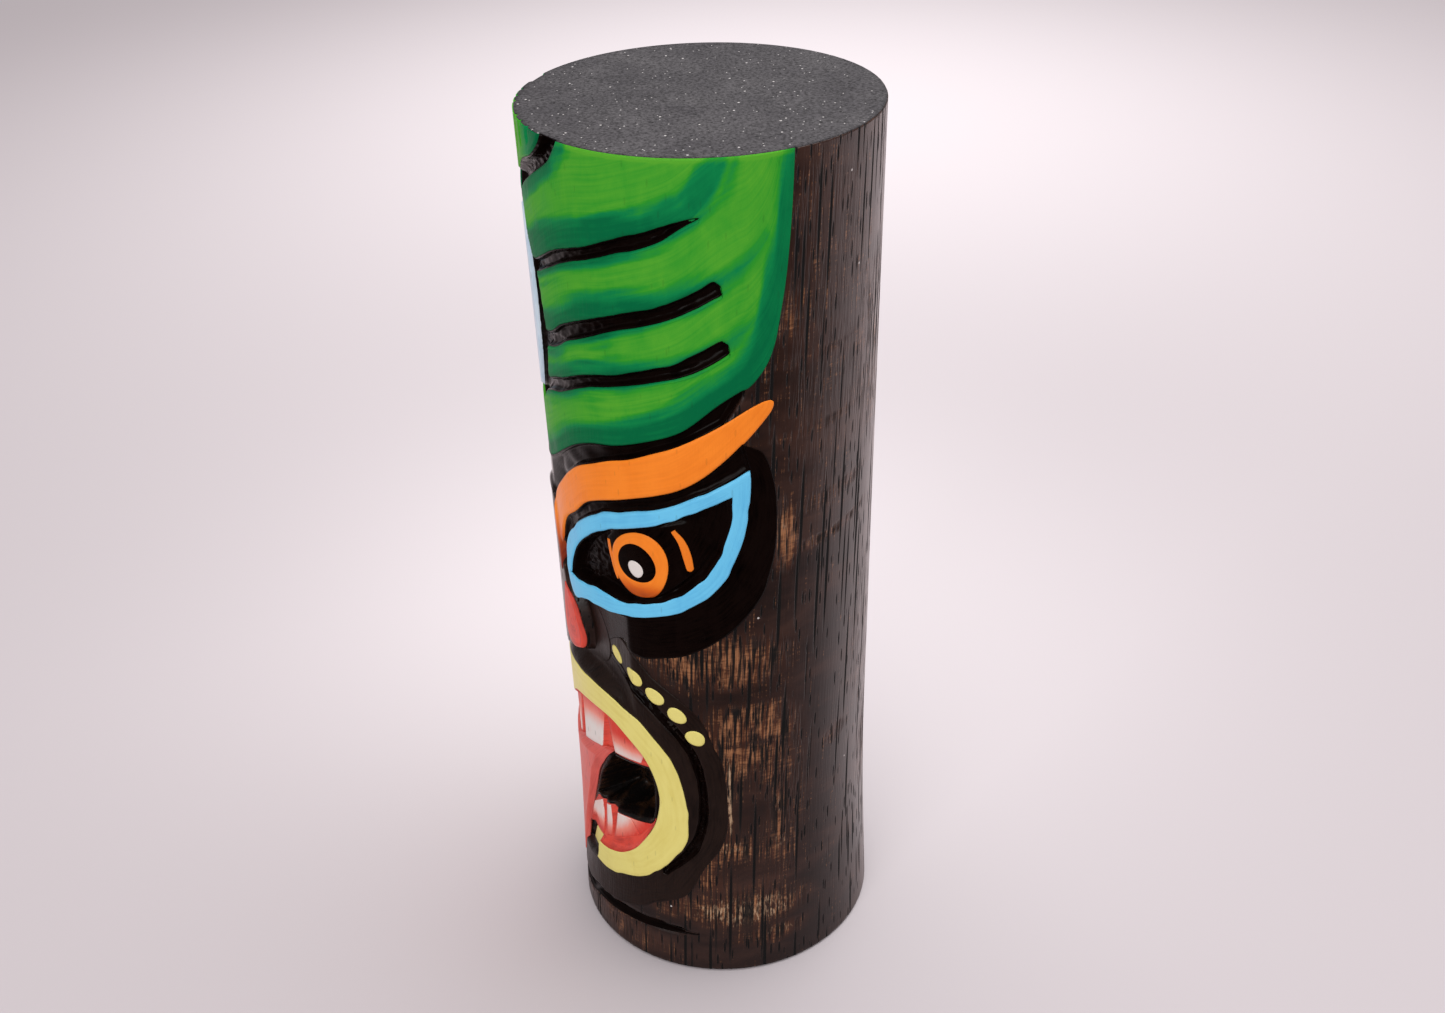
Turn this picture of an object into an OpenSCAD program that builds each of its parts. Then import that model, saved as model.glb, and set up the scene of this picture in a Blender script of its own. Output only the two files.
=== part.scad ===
// Carved tiki figure: one sawn log with a face cut into it, and the coats of paint brushed on it.
// Millimetres. +Z is up, the face looks along -Y, and the origin is the middle of the base.
// Outlines are lists of [angle round the log from the front in degrees, height in mm].
// Left is the figure's own left, along +X.

/* [Log] */
// Height of the sawn log
log_h = 150; // [120:1:200]
// Diameter at the sawn top
top_d = 54; // [44:0.5:70]
// Diameter at the narrow waist
waist_d = 50.8; // [42:0.2:66]
// Height of the waist above the base
waist_z = 32; // [20:1:50]
// Diameter at the base
base_d = 52.4; // [42:0.2:68]

/* [Paint] */
// Thickness of one brushed coat
coat_t = 0.2; // [0.1:0.02:0.4]

/* [Headdress] */
// Height of the headband's lower edge at the front
band_z = 94; // [93:1:100]
// Width of the gouged grooves between the leaf fingers
groove_w = 2.2; // [1:0.1:3]
// Depth of the gouged grooves
groove_depth = 1.2; // [0.4:0.1:2.5]
// Width of the veins cut in the centre leaf
vein_w = 0.7; // [0.4:0.1:1.2]
// Depth of the veins cut in the centre leaf
vein_depth = 0.6; // [0.3:0.1:1]

/* [Eyes] */
// Height of the middle of the eyes
eye_z = 85; // [82:1:86]
// Depth of the eye sockets
socket_depth = 2.4; // [1.2:0.1:4]
// Diameter of the ball that each eyeball is carved to
eyeball_d = 18; // [15:0.5:24]
// How far the eyeball's crown lies below the log's surface
eyeball_sink = 0.4; // [0.2:0.1:0.8]
// Angle round the log of the middle of the eyeball
eyeball_angle = 56; // [53:1:59]
// Outer diameter of the painted iris
iris_d = 10.4; // [8:0.2:11]
// Width of the iris ring
iris_w = 1.9; // [1:0.1:2.4]
// Diameter of the white pupil dot
pupil_d = 2.8; // [1.6:0.1:3.6]
// Width of the outer streak beside the iris
streak_w = 1.2; // [0.6:0.1:1.6]

/* [Nose and mouth] */
// Height of the middle of the nostrils
nose_z = 66; // [65:1:67]
// Depth of the hollows beside the nose
nose_depth = 2.2; // [1:0.1:4]
// Height of the middle of the mouth
mouth_z = 36; // [35:1:37]
// Depth of the teeth below the lip
teeth_depth = 1.2; // [0.6:0.1:2.4]
// How much narrower each gap between teeth is at the root, as an angle
teeth_flare = 1; // [0:0.5:1.5]
// Depth of the pockets on each side of the tongue
pocket_depth = 9; // [4:0.5:12]
// Width of the line cut round the lip
lip_line_w = 1.2; // [0.6:0.1:1.6]
// Depth of the lines cut round the lip and below the chin
line_depth = 0.8; // [0.3:0.1:1.5]
// Diameter of the painted cheek dots
dot_d = 2.8; // [2:0.1:3.2]
// Number of cheek dots on each side
dot_count = 5; // [3:1:5]
// Height of the line below the chin, at the sides
chin_z = 8.4; // [8:0.1:9]
// Width of the line below the chin
chin_w = 1.6; // [0.8:0.1:2]

/* [Hidden] */
$fn = 120;
// How far cutters and stencils reach past the surfaces that they cut
past = 1;
// Points taken along a curve for each control point
steps = 2;
headdress_h = log_h - band_z;
eyeball_r = eyeball_d / 2;

// Radius of the bare log at a height: two straight tapers that meet at the waist
function log_r(z) = z < waist_z
    ? base_d / 2 + (waist_d - base_d) / 2 * z / waist_z
    : waist_d / 2 + (top_d - waist_d) / 2 * (z - waist_z) / (log_h - waist_z);
// Degrees round the log that a length takes up at a height
function arc_angle(length, z) = length / log_r(z) * 180 / PI;

// Smooth open curve through control points, and helpers that reverse, cut short, raise and mirror a list
function blend(a, b, c, d, t) = 0.5 * (2 * b + (c - a) * t + (2 * a - 5 * b + 4 * c - d) * t * t
    + (3 * b - a - 3 * c + d) * t * t * t);
function curve(p) = concat(
    [for (i = [0 : len(p) - 2]) for (k = [0 : steps - 1])
        blend(p[max(i - 1, 0)], p[i], p[i + 1], p[min(i + 2, len(p) - 1)], k / steps)],
    [p[len(p) - 1]]);
function backward(p) = [for (i = [len(p) - 1 : -1 : 0]) p[i]];
function part_of(p, first, last) = [for (i = [first * steps : last * steps]) p[i]];
function raised(p, z) = [for (q = p) [q[0], q[1] + z]];
function mirrored(p) = [for (q = p) [-q[0], q[1]]];
// Heights given as shares of the headdress, from the headband's lower edge to the sawn top
function on_headdress(p) = [for (q = p) [q[0], band_z + q[1] * headdress_h]];
// Whole outline from one half of it that starts and ends at the front
function both_halves(p) = concat(p, mirrored(backward([for (i = [1 : len(p) - 2]) p[i]])));
// Outline of a stroke along a spine: full width in the middle, drawn in to a share of it at each end
function stroke(p, width, start_share, end_share) = let (
    c = curve(p), n = len(c) - 1,
    half = [for (i = [0 : n]) width / 2 * min(1, start_share + 4 * i / n, end_share + 4 * (n - i) / n)])
    concat([for (i = [0 : n]) c[i] + [0, half[i]]], [for (i = [n : -1 : 0]) c[i] - [0, half[i]]]);
// Round outline of a real diameter, centred on an angle and a height
function disc(angle, z, d) = [for (turn = [0 : 15 : 345])
    [angle + arc_angle(d / 2, z) * cos(turn), z + d / 2 * sin(turn)]];

// The log's own outside, larger or smaller by a depth all round
module turned(out, low = 0, high = log_h) {
    rotate_extrude()
        polygon([[0, low], [log_r(low) + out, low], [waist_d / 2 + out, waist_z],
            [log_r(high) + out, high], [0, high]]);
}

// A prism through an outline, pressed into the log along the direction at its middle angle
module stencil(outline, middle) {
    rotate([0, 0, middle]) rotate([90, 0, 0])
        linear_extrude(height = max(top_d, base_d))
            polygon([for (p = outline) [log_r(p[1]) * sin(p[0] - middle), p[1]]]);
}

// A cut through an outline down to a depth below the surface
module cut(outline, middle, depth) {
    intersection() {
        stencil(outline, middle);
        difference() {
            turned(past, -past, log_h + past);
            turned(-depth, -2 * past, log_h + 2 * past);
        }
    }
}

// A coat brushed on the surface, or on the floor of a cut, in its place among the coats there
module coat(outline, middle, depth = 0, place = 0) {
    intersection() {
        stencil(outline, middle);
        difference() {
            turned((place + 1) * coat_t - depth);
            turned(place * coat_t - depth, -past, log_h + past);
        }
    }
}

module both_sides() {
    children();
    mirror([1, 0, 0]) children();
}

// Headdress: heights are shares of it. The halves of the headband run one degree over the front.
band_bottom = [[-1, 0], [12, 0.035], [23, 0.1], [31, 0.143], [40, 0.175], [50, 0.193], [60, 0.22],
    [70, 0.25], [77, 0.285], [85, 0.34], [93, 0.38]];
leaf_back = [[93, 0.38], [98, 0.41], [103, 0.49], [106, 0.61], [108.5, 0.8], [110, 1.05]];
leaf_front = [[36, 1.05], [30, 0.938], [24, 0.904], [15.5, 0.862], [7, 0.81], [-1, 0.74]];
crown_groove_top = [[28, 1.05], [25, 0.97], [18, 0.925], [9, 0.89], [0, 0.84]];
crown_groove_bottom = [[0, 0.76], [7, 0.81], [15.5, 0.862], [24, 0.904], [30, 0.938], [36, 1.05]];
panel_edge = [[0, 0.757], [3, 0.72], [6, 0.65], [9.2, 0.57], [10.2, 0.49], [9.8, 0.4], [7.6, 0.31],
    [4, 0.245], [0, 0.21]];
surround_edge = [[0, 0.8], [4, 0.75], [6.5, 0.69], [11.5, 0.625], [15.5, 0.57], [17, 0.49], [17.5, 0.41],
    [15.5, 0.3], [10, 0.235], [0, 0.17]];
finger_grooves = [
    [[11, 0.615], [23, 0.654], [35, 0.7], [48, 0.74], [60, 0.775], [72, 0.823], [81, 0.848]],
    [[15, 0.415], [27, 0.452], [40, 0.505], [52, 0.55], [65, 0.585], [77, 0.62], [87, 0.668]],
    [[12, 0.26], [23, 0.297], [35, 0.34], [47, 0.375], [60, 0.408], [75, 0.443], [89, 0.505]]];
vein_spots = [[6, 0.92], [13.5, 0.945]];
leaf_middle = 54;
groove_middle = 48;
leaf_outline = on_headdress(concat(curve(band_bottom), curve(leaf_back), curve(leaf_front)));
centre_leaf_outline = on_headdress(both_halves(concat([[0, 1.05]], curve(crown_groove_top))));
crown_groove_outline = on_headdress(both_halves(concat(curve(crown_groove_bottom), curve(crown_groove_top))));
panel_outline = on_headdress(both_halves(curve(panel_edge)));
surround_outline = on_headdress(both_halves(curve(surround_edge)));

function finger_groove(i) = stroke(on_headdress(finger_grooves[i]), groove_w, 0.8, 0.3);
function vein(spot) = let (half = arc_angle(vein_w / 2, log_h)) on_headdress(
    [[spot[0] - half, spot[1]], [spot[0] + half, spot[1]], [spot[0] + half, 1.05], [spot[0] - half, 1.05]]);

module headdress_cuts() {
    for (i = [0 : 2]) cut(finger_groove(i), groove_middle, groove_depth);
    for (spot = vein_spots) cut(vein(spot), 0, vein_depth);
}

module crown_coat() {
    color("#3d3b3e") difference() {
        translate([0, 0, log_h]) cylinder(r = top_d / 2, h = coat_t);
        cut(crown_groove_outline, 0, groove_depth);
        both_sides() for (spot = vein_spots) cut(vein(spot), 0, vein_depth);
    }
}

module headdress_coat() {
    color("#2f8f2a") difference() {
        both_sides() coat(leaf_outline, leaf_middle);
        both_sides() for (i = [0 : 2]) cut(finger_groove(i), groove_middle, groove_depth);
        cut(surround_outline, 0, groove_depth);
        cut(crown_groove_outline, 0, groove_depth);
    }
}

module centre_leaf_coat() {
    color("#2f8f2a") difference() {
        coat(centre_leaf_outline, 0);
        both_sides() for (spot = vein_spots) cut(vein(spot), 0, vein_depth);
    }
}

module crown_groove_coat() {
    color("#262224") difference() {
        coat(crown_groove_outline, 0, groove_depth);
        stencil(surround_outline, 0);
    }
}

module forehead_panel_coat() {
    color("#b9cfe4") coat(panel_outline, 0);
}

module panel_surround_coat() {
    color("#262224") difference() {
        coat(surround_outline, 0, groove_depth);
        stencil(panel_outline, 0);
    }
}

module leaf_groove_coat_left() {
    color("#262224") difference() {
        for (i = [0 : 2]) coat(finger_groove(i), groove_middle, groove_depth);
        stencil(surround_outline, 0);
    }
}

module leaf_groove_coat_right() {
    mirror([1, 0, 0]) leaf_groove_coat_left();
}

// Brow and eye: heights are from the middle of the eye
nose_top = [-1, 4];
brow_top = [[8, 2], [13, 6], [19.5, 8.7], [27, 11.8], [36, 14.3], [47, 16.6], [58, 18.5], [70, 20.8],
    [82, 23.6], [92, 26.2], [100, 28.2]];
brow_tip = [[100, 28.2], [102, 27.6], [100.5, 26]];
brow_bottom = [[100.5, 26], [93.5, 22], [86.5, 18.9], [78, 15.4], [68, 13], [56.5, 11.4], [46, 9.7],
    [34, 7.3], [26, 3.7], [18, 1], [14, -2.5], [11.5, -6.5]];
brow_inner = [[11.5, -6.5], [8.5, -6], [7.2, -2], [8, 2]];
eye_top = [[15.2, -8.2], [17, -4], [22, -0.5], [30, 3.3], [37, 5.5], [45, 7.5], [54, 8.6], [66, 10.5],
    [78, 12.9], [87, 14.9], [95, 16.8]];
eye_bottom = [[95, 16.8], [94.2, 10.2], [91.5, 4.4], [86.5, -1], [79, -5.3], [69, -8.2], [58, -10],
    [46, -11], [34, -11.3], [27, -12.1], [21, -13], [17, -11.8], [15.2, -8.2]];
socket_top = [[19, -9.2], [21.5, -6], [27, -2], [35, 1.6], [44, 4.2], [55, 6.1], [66, 7.9], [78, 10.4],
    [89, 12.7]];
socket_bottom = [[89, 12.7], [88.5, 7.8], [84, 1.8], [77, -2.7], [68, -5.8], [57, -7.8], [46, -8.5],
    [34, -8.3], [19, -9.2]];
eye_ground = [[93.5, 22], [100, 19], [103.2, 13.5], [103.8, 6], [101.8, -1.3], [97, -6.8], [89, -11],
    [78, -14.8], [66, -17.2], [56, -18.3], [49, -17.6], [43, -14.2], [36, -12.9], [28, -13.4], [21, -13]];
outer_streak = [[69.3, 6.2], [72, 3.6], [74, -0.5]];
inner_streak = [[43.4, 1.6], [44.6, -1.5], [46, -4.8]];
inner_streak_w = 0.6;
eye_middle = 57;
brow_bottom_curve = curve(brow_bottom);
brow_outline = raised(concat(curve(brow_top), curve(brow_tip), brow_bottom_curve, curve(brow_inner)), eye_z);
headband_groove_outline = concat(on_headdress(curve(band_bottom)),
    backward(raised(concat([nose_top], curve(brow_top)), eye_z)));
brow_groove_outline = raised(concat(curve(eye_top), part_of(brow_bottom_curve, 1, 10)), eye_z);
eye_outline = raised(concat(curve(eye_top), curve(eye_bottom)), eye_z);
socket_outline = raised(concat(curve(socket_top), curve(socket_bottom)), eye_z);
eye_ground_outline = raised(concat(curve(eye_ground), backward(part_of(curve(eye_bottom), 0, 10))), eye_z);
// The streaks run up and down, so their width is an angle
function upright_stroke(p, width) = let (half = arc_angle(width / 2, eye_z), c = raised(curve(p), eye_z))
    concat([for (q = c) q + [half, 0]], [for (q = backward(c)) q - [half, 0]]);

// Wood left in the socket, and coats on it up to a thickness
module socket_filling(thickness) {
    turned(thickness - socket_depth, -past, log_h + past);
    rotate([0, 0, eyeball_angle])
        translate([0, eyeball_r + eyeball_sink - log_r(eye_z), eye_z]) sphere(eyeball_r + thickness);
}

module eye_coat(outline, place) {
    intersection() {
        stencil(outline, eyeball_angle);
        difference() {
            socket_filling((place + 1) * coat_t);
            socket_filling(place * coat_t);
        }
    }
}

module eye_cuts() {
    difference() {
        cut(socket_outline, eyeball_angle, socket_depth);
        socket_filling(0);
    }
    cut(headband_groove_outline, eye_middle, groove_depth);
    cut(brow_groove_outline, eye_middle, groove_depth);
}

module headband_groove_coat() {
    color("#262224") both_sides() coat(headband_groove_outline, eye_middle, groove_depth);
}

module brow_coat_left() {
    color("#f08a24") coat(brow_outline, eye_middle);
}

module brow_coat_right() {
    mirror([1, 0, 0]) brow_coat_left();
}

module brow_groove_coat_left() {
    color("#262224") coat(brow_groove_outline, eye_middle, groove_depth);
}

module brow_groove_coat_right() {
    mirror([1, 0, 0]) brow_groove_coat_left();
}

module eye_surround_coat_left() {
    color("#262224") coat(eye_ground_outline, eye_middle);
}

module eye_surround_coat_right() {
    mirror([1, 0, 0]) eye_surround_coat_left();
}

module eye_outline_coat_left() {
    color("#6fb6e2") difference() {
        coat(eye_outline, eye_middle);
        stencil(socket_outline, eyeball_angle);
    }
}

module eye_outline_coat_right() {
    mirror([1, 0, 0]) eye_outline_coat_left();
}

module eye_socket_coat_left() {
    color("#262224") eye_coat(socket_outline, 0);
}

module eye_socket_coat_right() {
    mirror([1, 0, 0]) eye_socket_coat_left();
}

module iris_coat_left() {
    color("#f08a24") difference() {
        eye_coat(disc(eyeball_angle, eye_z, iris_d), 1);
        stencil(disc(eyeball_angle, eye_z, iris_d - 2 * iris_w), eyeball_angle);
    }
}

module iris_coat_right() {
    mirror([1, 0, 0]) iris_coat_left();
}

module eye_streak_coat_left() {
    color("#f08a24") {
        eye_coat(upright_stroke(outer_streak, streak_w), 1);
        eye_coat(upright_stroke(inner_streak, inner_streak_w), 1);
    }
}

module eye_streak_coat_right() {
    mirror([1, 0, 0]) eye_streak_coat_left();
}

module pupil_dot_coat_left() {
    color("#e9e6e2") eye_coat(disc(eyeball_angle, eye_z, pupil_d), 1);
}

module pupil_dot_coat_right() {
    mirror([1, 0, 0]) pupil_dot_coat_left();
}

// Nose: heights are from the middle of the nostrils
wing = [[9, 3.2], [14, 4.5], [20, 4], [24.5, 2], [26.5, -1], [24, -3.7], [19.5, -5], [13, -5.5], [8, -5],
    [6.5, -1], [9, 3.2]];
hollow = [[29.5, -2.2], [30, -4], [38, -3.6], [45, -1.2], [47, 2.2], [43, 5], [36, 5.6], [29, 5.2],
    [27, 3], [29.5, -2.2]];
nose_middle = 27;
wing_outline = raised(curve(wing), nose_z);
hollow_outline = raised(curve(hollow), nose_z);

module nose_wing_coat_left() {
    color("#c8463c") coat(wing_outline, nose_middle);
}

module nose_wing_coat_right() {
    mirror([1, 0, 0]) nose_wing_coat_left();
}

module nose_hollow_coat_left() {
    color("#262224") coat(hollow_outline, nose_middle, nose_depth);
}

module nose_hollow_coat_right() {
    mirror([1, 0, 0]) nose_hollow_coat_left();
}

// Mouth: heights are from its middle, and each edge runs from the top of one half round to the bottom
lip_outer = [[0, 19], [12, 20.2], [24, 20.7], [36, 20.1], [46, 18.4], [55, 15.4], [62, 11.4], [67, 6],
    [69.3, 0], [69, -5], [66, -8.8], [60, -12.6], [52, -16], [42, -18.7], [30, -20.5], [15, -21.3],
    [0, -21.5]];
lip_inner = [[0, 10.5], [10, 13.3], [20, 15], [30, 15.5], [39, 14.8], [46, 12.7], [52, 9.9], [56, 6.3],
    [58, 2], [57.3, -1.5], [54.5, -5.4], [49, -9.6], [41, -13.3], [30, -15.8], [15, -17.2], [0, -17.5]];
band_outer = [[-1, 20], [14, 22], [24, 26], [34, 29.8], [44, 30.8], [54, 29.2], [63, 25.6], [71, 21.8],
    [77, 17.6], [81.5, 11.6], [83.8, 5], [84.2, -1], [82, -6.8], [76, -12], [68, -18.2], [59, -21.8],
    [48, -24.6], [32, -26.6], [16, -28.2], [-1, -29]];
lip_line = [[36, 26.5], [46, 24.8], [56, 21.6], [64, 17.8], [70, 14], [74, 9], [75.4, 3], [74.6, -3],
    [71, -8], [64, -12.3], [58, -15.3]];
pocket = [[37, 7.6], [44, 7.9], [50, 8], [54, 5], [55.3, 1], [54, -2.6], [49, -4.2], [42, -3.8], [34, -3.6],
    [27, -4.2], [25.5, -2], [28.5, 2.5], [32, 5.6], [37, 7.6]];
tongue_edge = [[0, 2.8], [10, 3.8], [19, 5], [23.5, 4.6], [23, 2], [20, -3], [17.5, -8], [14.5, -13],
    [11, -17.5], [6, -23], [0, -26.4]];
// Each tooth is [angle of one side, angle of the other, height of its edge, height of its root]
upper_teeth = [[2, 13, 4.6, 9.2], [17, 31, 7, 12.8], [36, 47, 8.6, 10.6]];
lower_teeth = [[23.5, 27.5, -5.4, -12.5], [30, 33.5, -5.4, -12], [37.5, 48, -5.4, -8.4]];
gum_upper = [[0, 5.6], [10, 6.2], [20, 7.9], [33, 8.6], [42, 9.4], [50.5, 9.6]];
gum_lower = [[22.8, -5.2], [34, -4.8], [42, -5], [52.5, -5.2]];
mouth_middle = 41;
lip_inner_curve = curve(lip_inner);
lip_outline = raised(both_halves(curve(lip_outer)), mouth_z);
mouth_outline = raised(both_halves(lip_inner_curve), mouth_z);
band_outline = raised(curve(band_outer), mouth_z);
pocket_outline = raised(curve(pocket), mouth_z);
tongue_outline = raised(both_halves(curve(tongue_edge)), mouth_z);
gum_upper_outline = raised(both_halves(concat(gum_upper, [[46, 12], [39, 14.1], [30, 14.8], [20, 14.3],
    [10, 12.6], [0, 9.8]])), mouth_z);
gum_lower_outline = raised(concat(gum_lower,
    [[48.5, -9.2], [41, -12.6], [30, -15], [21, -15.8], [17, -15]]), mouth_z);
function tooth_outline(t) = raised([[t[0] - teeth_flare, t[3]], [t[0], t[2]], [t[1], t[2]],
    [t[1] + teeth_flare, t[3]]], mouth_z);
// One millimetre away from the middle of the mouth's half at a point, as an angle and a height
function outward(p) = let (away = [(p[0] - 30) * log_r(p[1]) * PI / 180, p[1] - mouth_z], n = norm(away))
    [arc_angle(away[0] / n, p[1]), away[1] / n];
lip_line_outline = let (c = raised(curve(lip_line), mouth_z))
    concat([for (p = c) p + lip_line_w / 2 * outward(p)],
        [for (p = backward(c)) p - lip_line_w / 2 * outward(p)]);
// The cheek dots lie evenly along a bow between the first and the last
dot_first = [42, 28.4];
dot_last = [73, 16.4];
dot_bow = 1.2;
function dot_spot(i) = let (share = i / (dot_count - 1))
    dot_first + share * (dot_last - dot_first) + [0, mouth_z + dot_bow * sin(180 * share)];

module mouth_cuts() {
    difference() {
        cut(mouth_outline, 0, teeth_depth);
        stencil(tongue_outline, 0);
    }
}

module mouth_side_cuts() {
    cut(pocket_outline, mouth_middle, pocket_depth);
    cut(lip_line_outline, mouth_middle, line_depth);
    cut(hollow_outline, nose_middle, nose_depth);
}

module lip_coat() {
    color("#e2d27a") difference() {
        coat(lip_outline, 0);
        stencil(mouth_outline, 0);
        stencil(tongue_outline, 0);
    }
}

module mouth_surround_coat() {
    color("#262224") difference() {
        both_sides() coat(band_outline, mouth_middle);
        cut(lip_outline, 0, line_depth);
        cut(tongue_outline, 0, line_depth);
        both_sides() {
            cut(lip_line_outline, mouth_middle, line_depth);
            cut(hollow_outline, nose_middle, line_depth);
            cut(wing_outline, nose_middle, line_depth);
        }
    }
}

module lip_line_coat_left() {
    color("#1d1a1c") coat(lip_line_outline, mouth_middle, line_depth);
}

module lip_line_coat_right() {
    mirror([1, 0, 0]) lip_line_coat_left();
}

module cheek_dots_coat_left() {
    color("#e2d27a") for (i = [0 : dot_count - 1])
        coat(disc(dot_spot(i)[0], dot_spot(i)[1], dot_d), mouth_middle, 0, 1);
}

module cheek_dots_coat_right() {
    mirror([1, 0, 0]) cheek_dots_coat_left();
}

module gum_coat_upper() {
    color("#b8433a") difference() {
        coat(gum_upper_outline, 0, teeth_depth);
        both_sides() for (t = upper_teeth) stencil(tooth_outline(t), 0);
    }
}

module gum_coat_lower_left() {
    color("#b8433a") difference() {
        coat(gum_lower_outline, 0, teeth_depth);
        for (t = lower_teeth) stencil(tooth_outline(t), 0);
        stencil(tongue_outline, 0);
    }
}

module gum_coat_lower_right() {
    mirror([1, 0, 0]) gum_coat_lower_left();
}

module teeth_coat_upper() {
    color("#ddd5cf") both_sides() for (t = upper_teeth) coat(tooth_outline(t), 0, teeth_depth);
}

module teeth_coat_lower_left() {
    color("#ddd5cf") for (t = lower_teeth) coat(tooth_outline(t), 0, teeth_depth);
}

module teeth_coat_lower_right() {
    mirror([1, 0, 0]) teeth_coat_lower_left();
}

module tongue_coat() {
    color("#cd5a55") coat(tongue_outline, 0);
}

module mouth_pocket_coat_left() {
    color("#1d1a1c") coat(pocket_outline, mouth_middle, pocket_depth);
}

module mouth_pocket_coat_right() {
    mirror([1, 0, 0]) mouth_pocket_coat_left();
}

// The line below the chin sags towards the front
chin_line = [[0, -3.2], [18, -2], [36, -0.8], [54, -0.1], [70, 0]];
chin_outline = let (c = raised(curve(chin_line), chin_z), n = len(c) - 1,
    half = [for (i = [0 : n]) chin_w / 2 * min(1, 0.2 + 4 * (n - i) / n)])
    both_halves(concat([for (i = [0 : n]) c[i] + [0, half[i]]],
        [for (i = [n : -1 : 0]) c[i] - [0, half[i]]]));

module chin_groove_coat() {
    color("#262224") coat(chin_outline, 0, line_depth);
}

// The carved log, with every cut that the coats lie in
module log() {
    color("#3a2a22") difference() {
        turned(0);
        both_sides() {
            headdress_cuts();
            eye_cuts();
            mouth_side_cuts();
        }
        cut(crown_groove_outline, 0, groove_depth);
        difference() {
            cut(surround_outline, 0, groove_depth);
            stencil(panel_outline, 0);
        }
        mouth_cuts();
        cut(chin_outline, 0, line_depth);
    }
}

log();
crown_coat();
headdress_coat();
centre_leaf_coat();
crown_groove_coat();
forehead_panel_coat();
panel_surround_coat();
leaf_groove_coat_left();
leaf_groove_coat_right();
headband_groove_coat();
brow_coat_left();
brow_coat_right();
brow_groove_coat_left();
brow_groove_coat_right();
eye_surround_coat_left();
eye_surround_coat_right();
eye_outline_coat_left();
eye_outline_coat_right();
eye_socket_coat_left();
eye_socket_coat_right();
iris_coat_left();
iris_coat_right();
eye_streak_coat_left();
eye_streak_coat_right();
pupil_dot_coat_left();
pupil_dot_coat_right();
nose_wing_coat_left();
nose_wing_coat_right();
nose_hollow_coat_left();
nose_hollow_coat_right();
lip_coat();
mouth_surround_coat();
lip_line_coat_left();
lip_line_coat_right();
cheek_dots_coat_left();
cheek_dots_coat_right();
gum_coat_upper();
gum_coat_lower_left();
gum_coat_lower_right();
teeth_coat_upper();
teeth_coat_lower_left();
teeth_coat_lower_right();
tongue_coat();
mouth_pocket_coat_left();
mouth_pocket_coat_right();
chin_groove_coat();
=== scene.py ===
"""Looks of a small carved tiki: one sawn log with a face gouged into its front and painted in acrylic.

Places on the log are [angle, height]: degrees round the log from the front of the face towards the figure's
own left, and millimetres above the base. The front looks along -Y and the figure's left is +X.
"""

import math

import bmesh
import bpy
import numpy as np
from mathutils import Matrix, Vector


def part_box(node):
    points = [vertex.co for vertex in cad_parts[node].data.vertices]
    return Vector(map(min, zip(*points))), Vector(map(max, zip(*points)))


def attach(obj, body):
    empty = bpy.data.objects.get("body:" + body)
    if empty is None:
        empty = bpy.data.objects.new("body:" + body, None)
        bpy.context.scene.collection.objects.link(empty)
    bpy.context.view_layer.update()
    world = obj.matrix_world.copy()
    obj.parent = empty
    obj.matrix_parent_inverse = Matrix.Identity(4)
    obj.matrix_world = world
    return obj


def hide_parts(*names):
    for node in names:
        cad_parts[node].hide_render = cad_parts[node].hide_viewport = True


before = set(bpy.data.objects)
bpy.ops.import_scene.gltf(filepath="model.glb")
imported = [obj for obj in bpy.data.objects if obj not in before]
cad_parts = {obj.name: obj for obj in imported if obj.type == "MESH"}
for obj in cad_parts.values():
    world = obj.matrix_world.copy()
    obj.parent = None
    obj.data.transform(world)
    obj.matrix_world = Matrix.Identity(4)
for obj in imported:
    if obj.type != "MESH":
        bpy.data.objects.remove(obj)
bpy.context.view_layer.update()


# The log: a length of hardwood branch, sawn square at both ends and left round.
# Its outside is slightly waisted, and it is the only piece of wood in the figure.
MM = 0.001
LOG_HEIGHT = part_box("log")[1].z / MM
TOP_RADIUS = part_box("log")[1].x / MM
BASE_RADIUS = TOP_RADIUS - 0.7
WAIST_RADIUS = TOP_RADIUS - 1.52
STRETCH = 8  # steps of a smooth line between two of its control points


def curve(points):
    """Smooth line through points: each stretch is the Catmull-Rom cubic of the four points about it."""
    p = np.array(points, float)
    p = np.vstack([2 * p[0] - p[1], p, 2 * p[-1] - p[-2]])
    t = np.linspace(0, 1, STRETCH, endpoint=False)[:, None, None]
    a, b, c, d = p[:-3], p[1:-2], p[2:-1], p[3:]
    line = b + 0.5 * ((c - a) * t + (2 * a - 5 * b + 4 * c - d) * t**2 + (3 * b - a - 3 * c + d) * t**3)
    return np.vstack([line.transpose(1, 0, 2).reshape(-1, 2), p[-2:-1]])


profile = curve([(BASE_RADIUS, 0), (WAIST_RADIUS, 30), (WAIST_RADIUS + 0.28, 60), (TOP_RADIUS - 0.7, 100),
                 (TOP_RADIUS + 0.1, LOG_HEIGHT)])


def blank(height):
    """Radius of the log before carving: read off its side profile."""
    return np.interp(height, profile[:, 1], profile[:, 0])


# Carving of the headdress: a leaf on each side whose fingers are parted by grooves, a centre leaf above a
# V groove, a forehead panel in a sunk field, and a headband below. A V gouge cut it all, about 1 mm deep.
ARC = math.radians(1) * 26  # mm round the log for one degree, at its mean radius
BATCH = 3000000  # pairs of a point and an edge measured at once


def along(line, count):
    """The same line with evenly spaced points: equal steps of its length in mm."""
    step = np.hypot(*(np.diff(line, axis=0) * [ARC, 1]).T)
    length = np.concatenate([[0], np.cumsum(step)])
    at = np.linspace(0, length[-1], count)
    return np.stack([np.interp(at, length, line[:, 0]), np.interp(at, length, line[:, 1])], 1)


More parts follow.
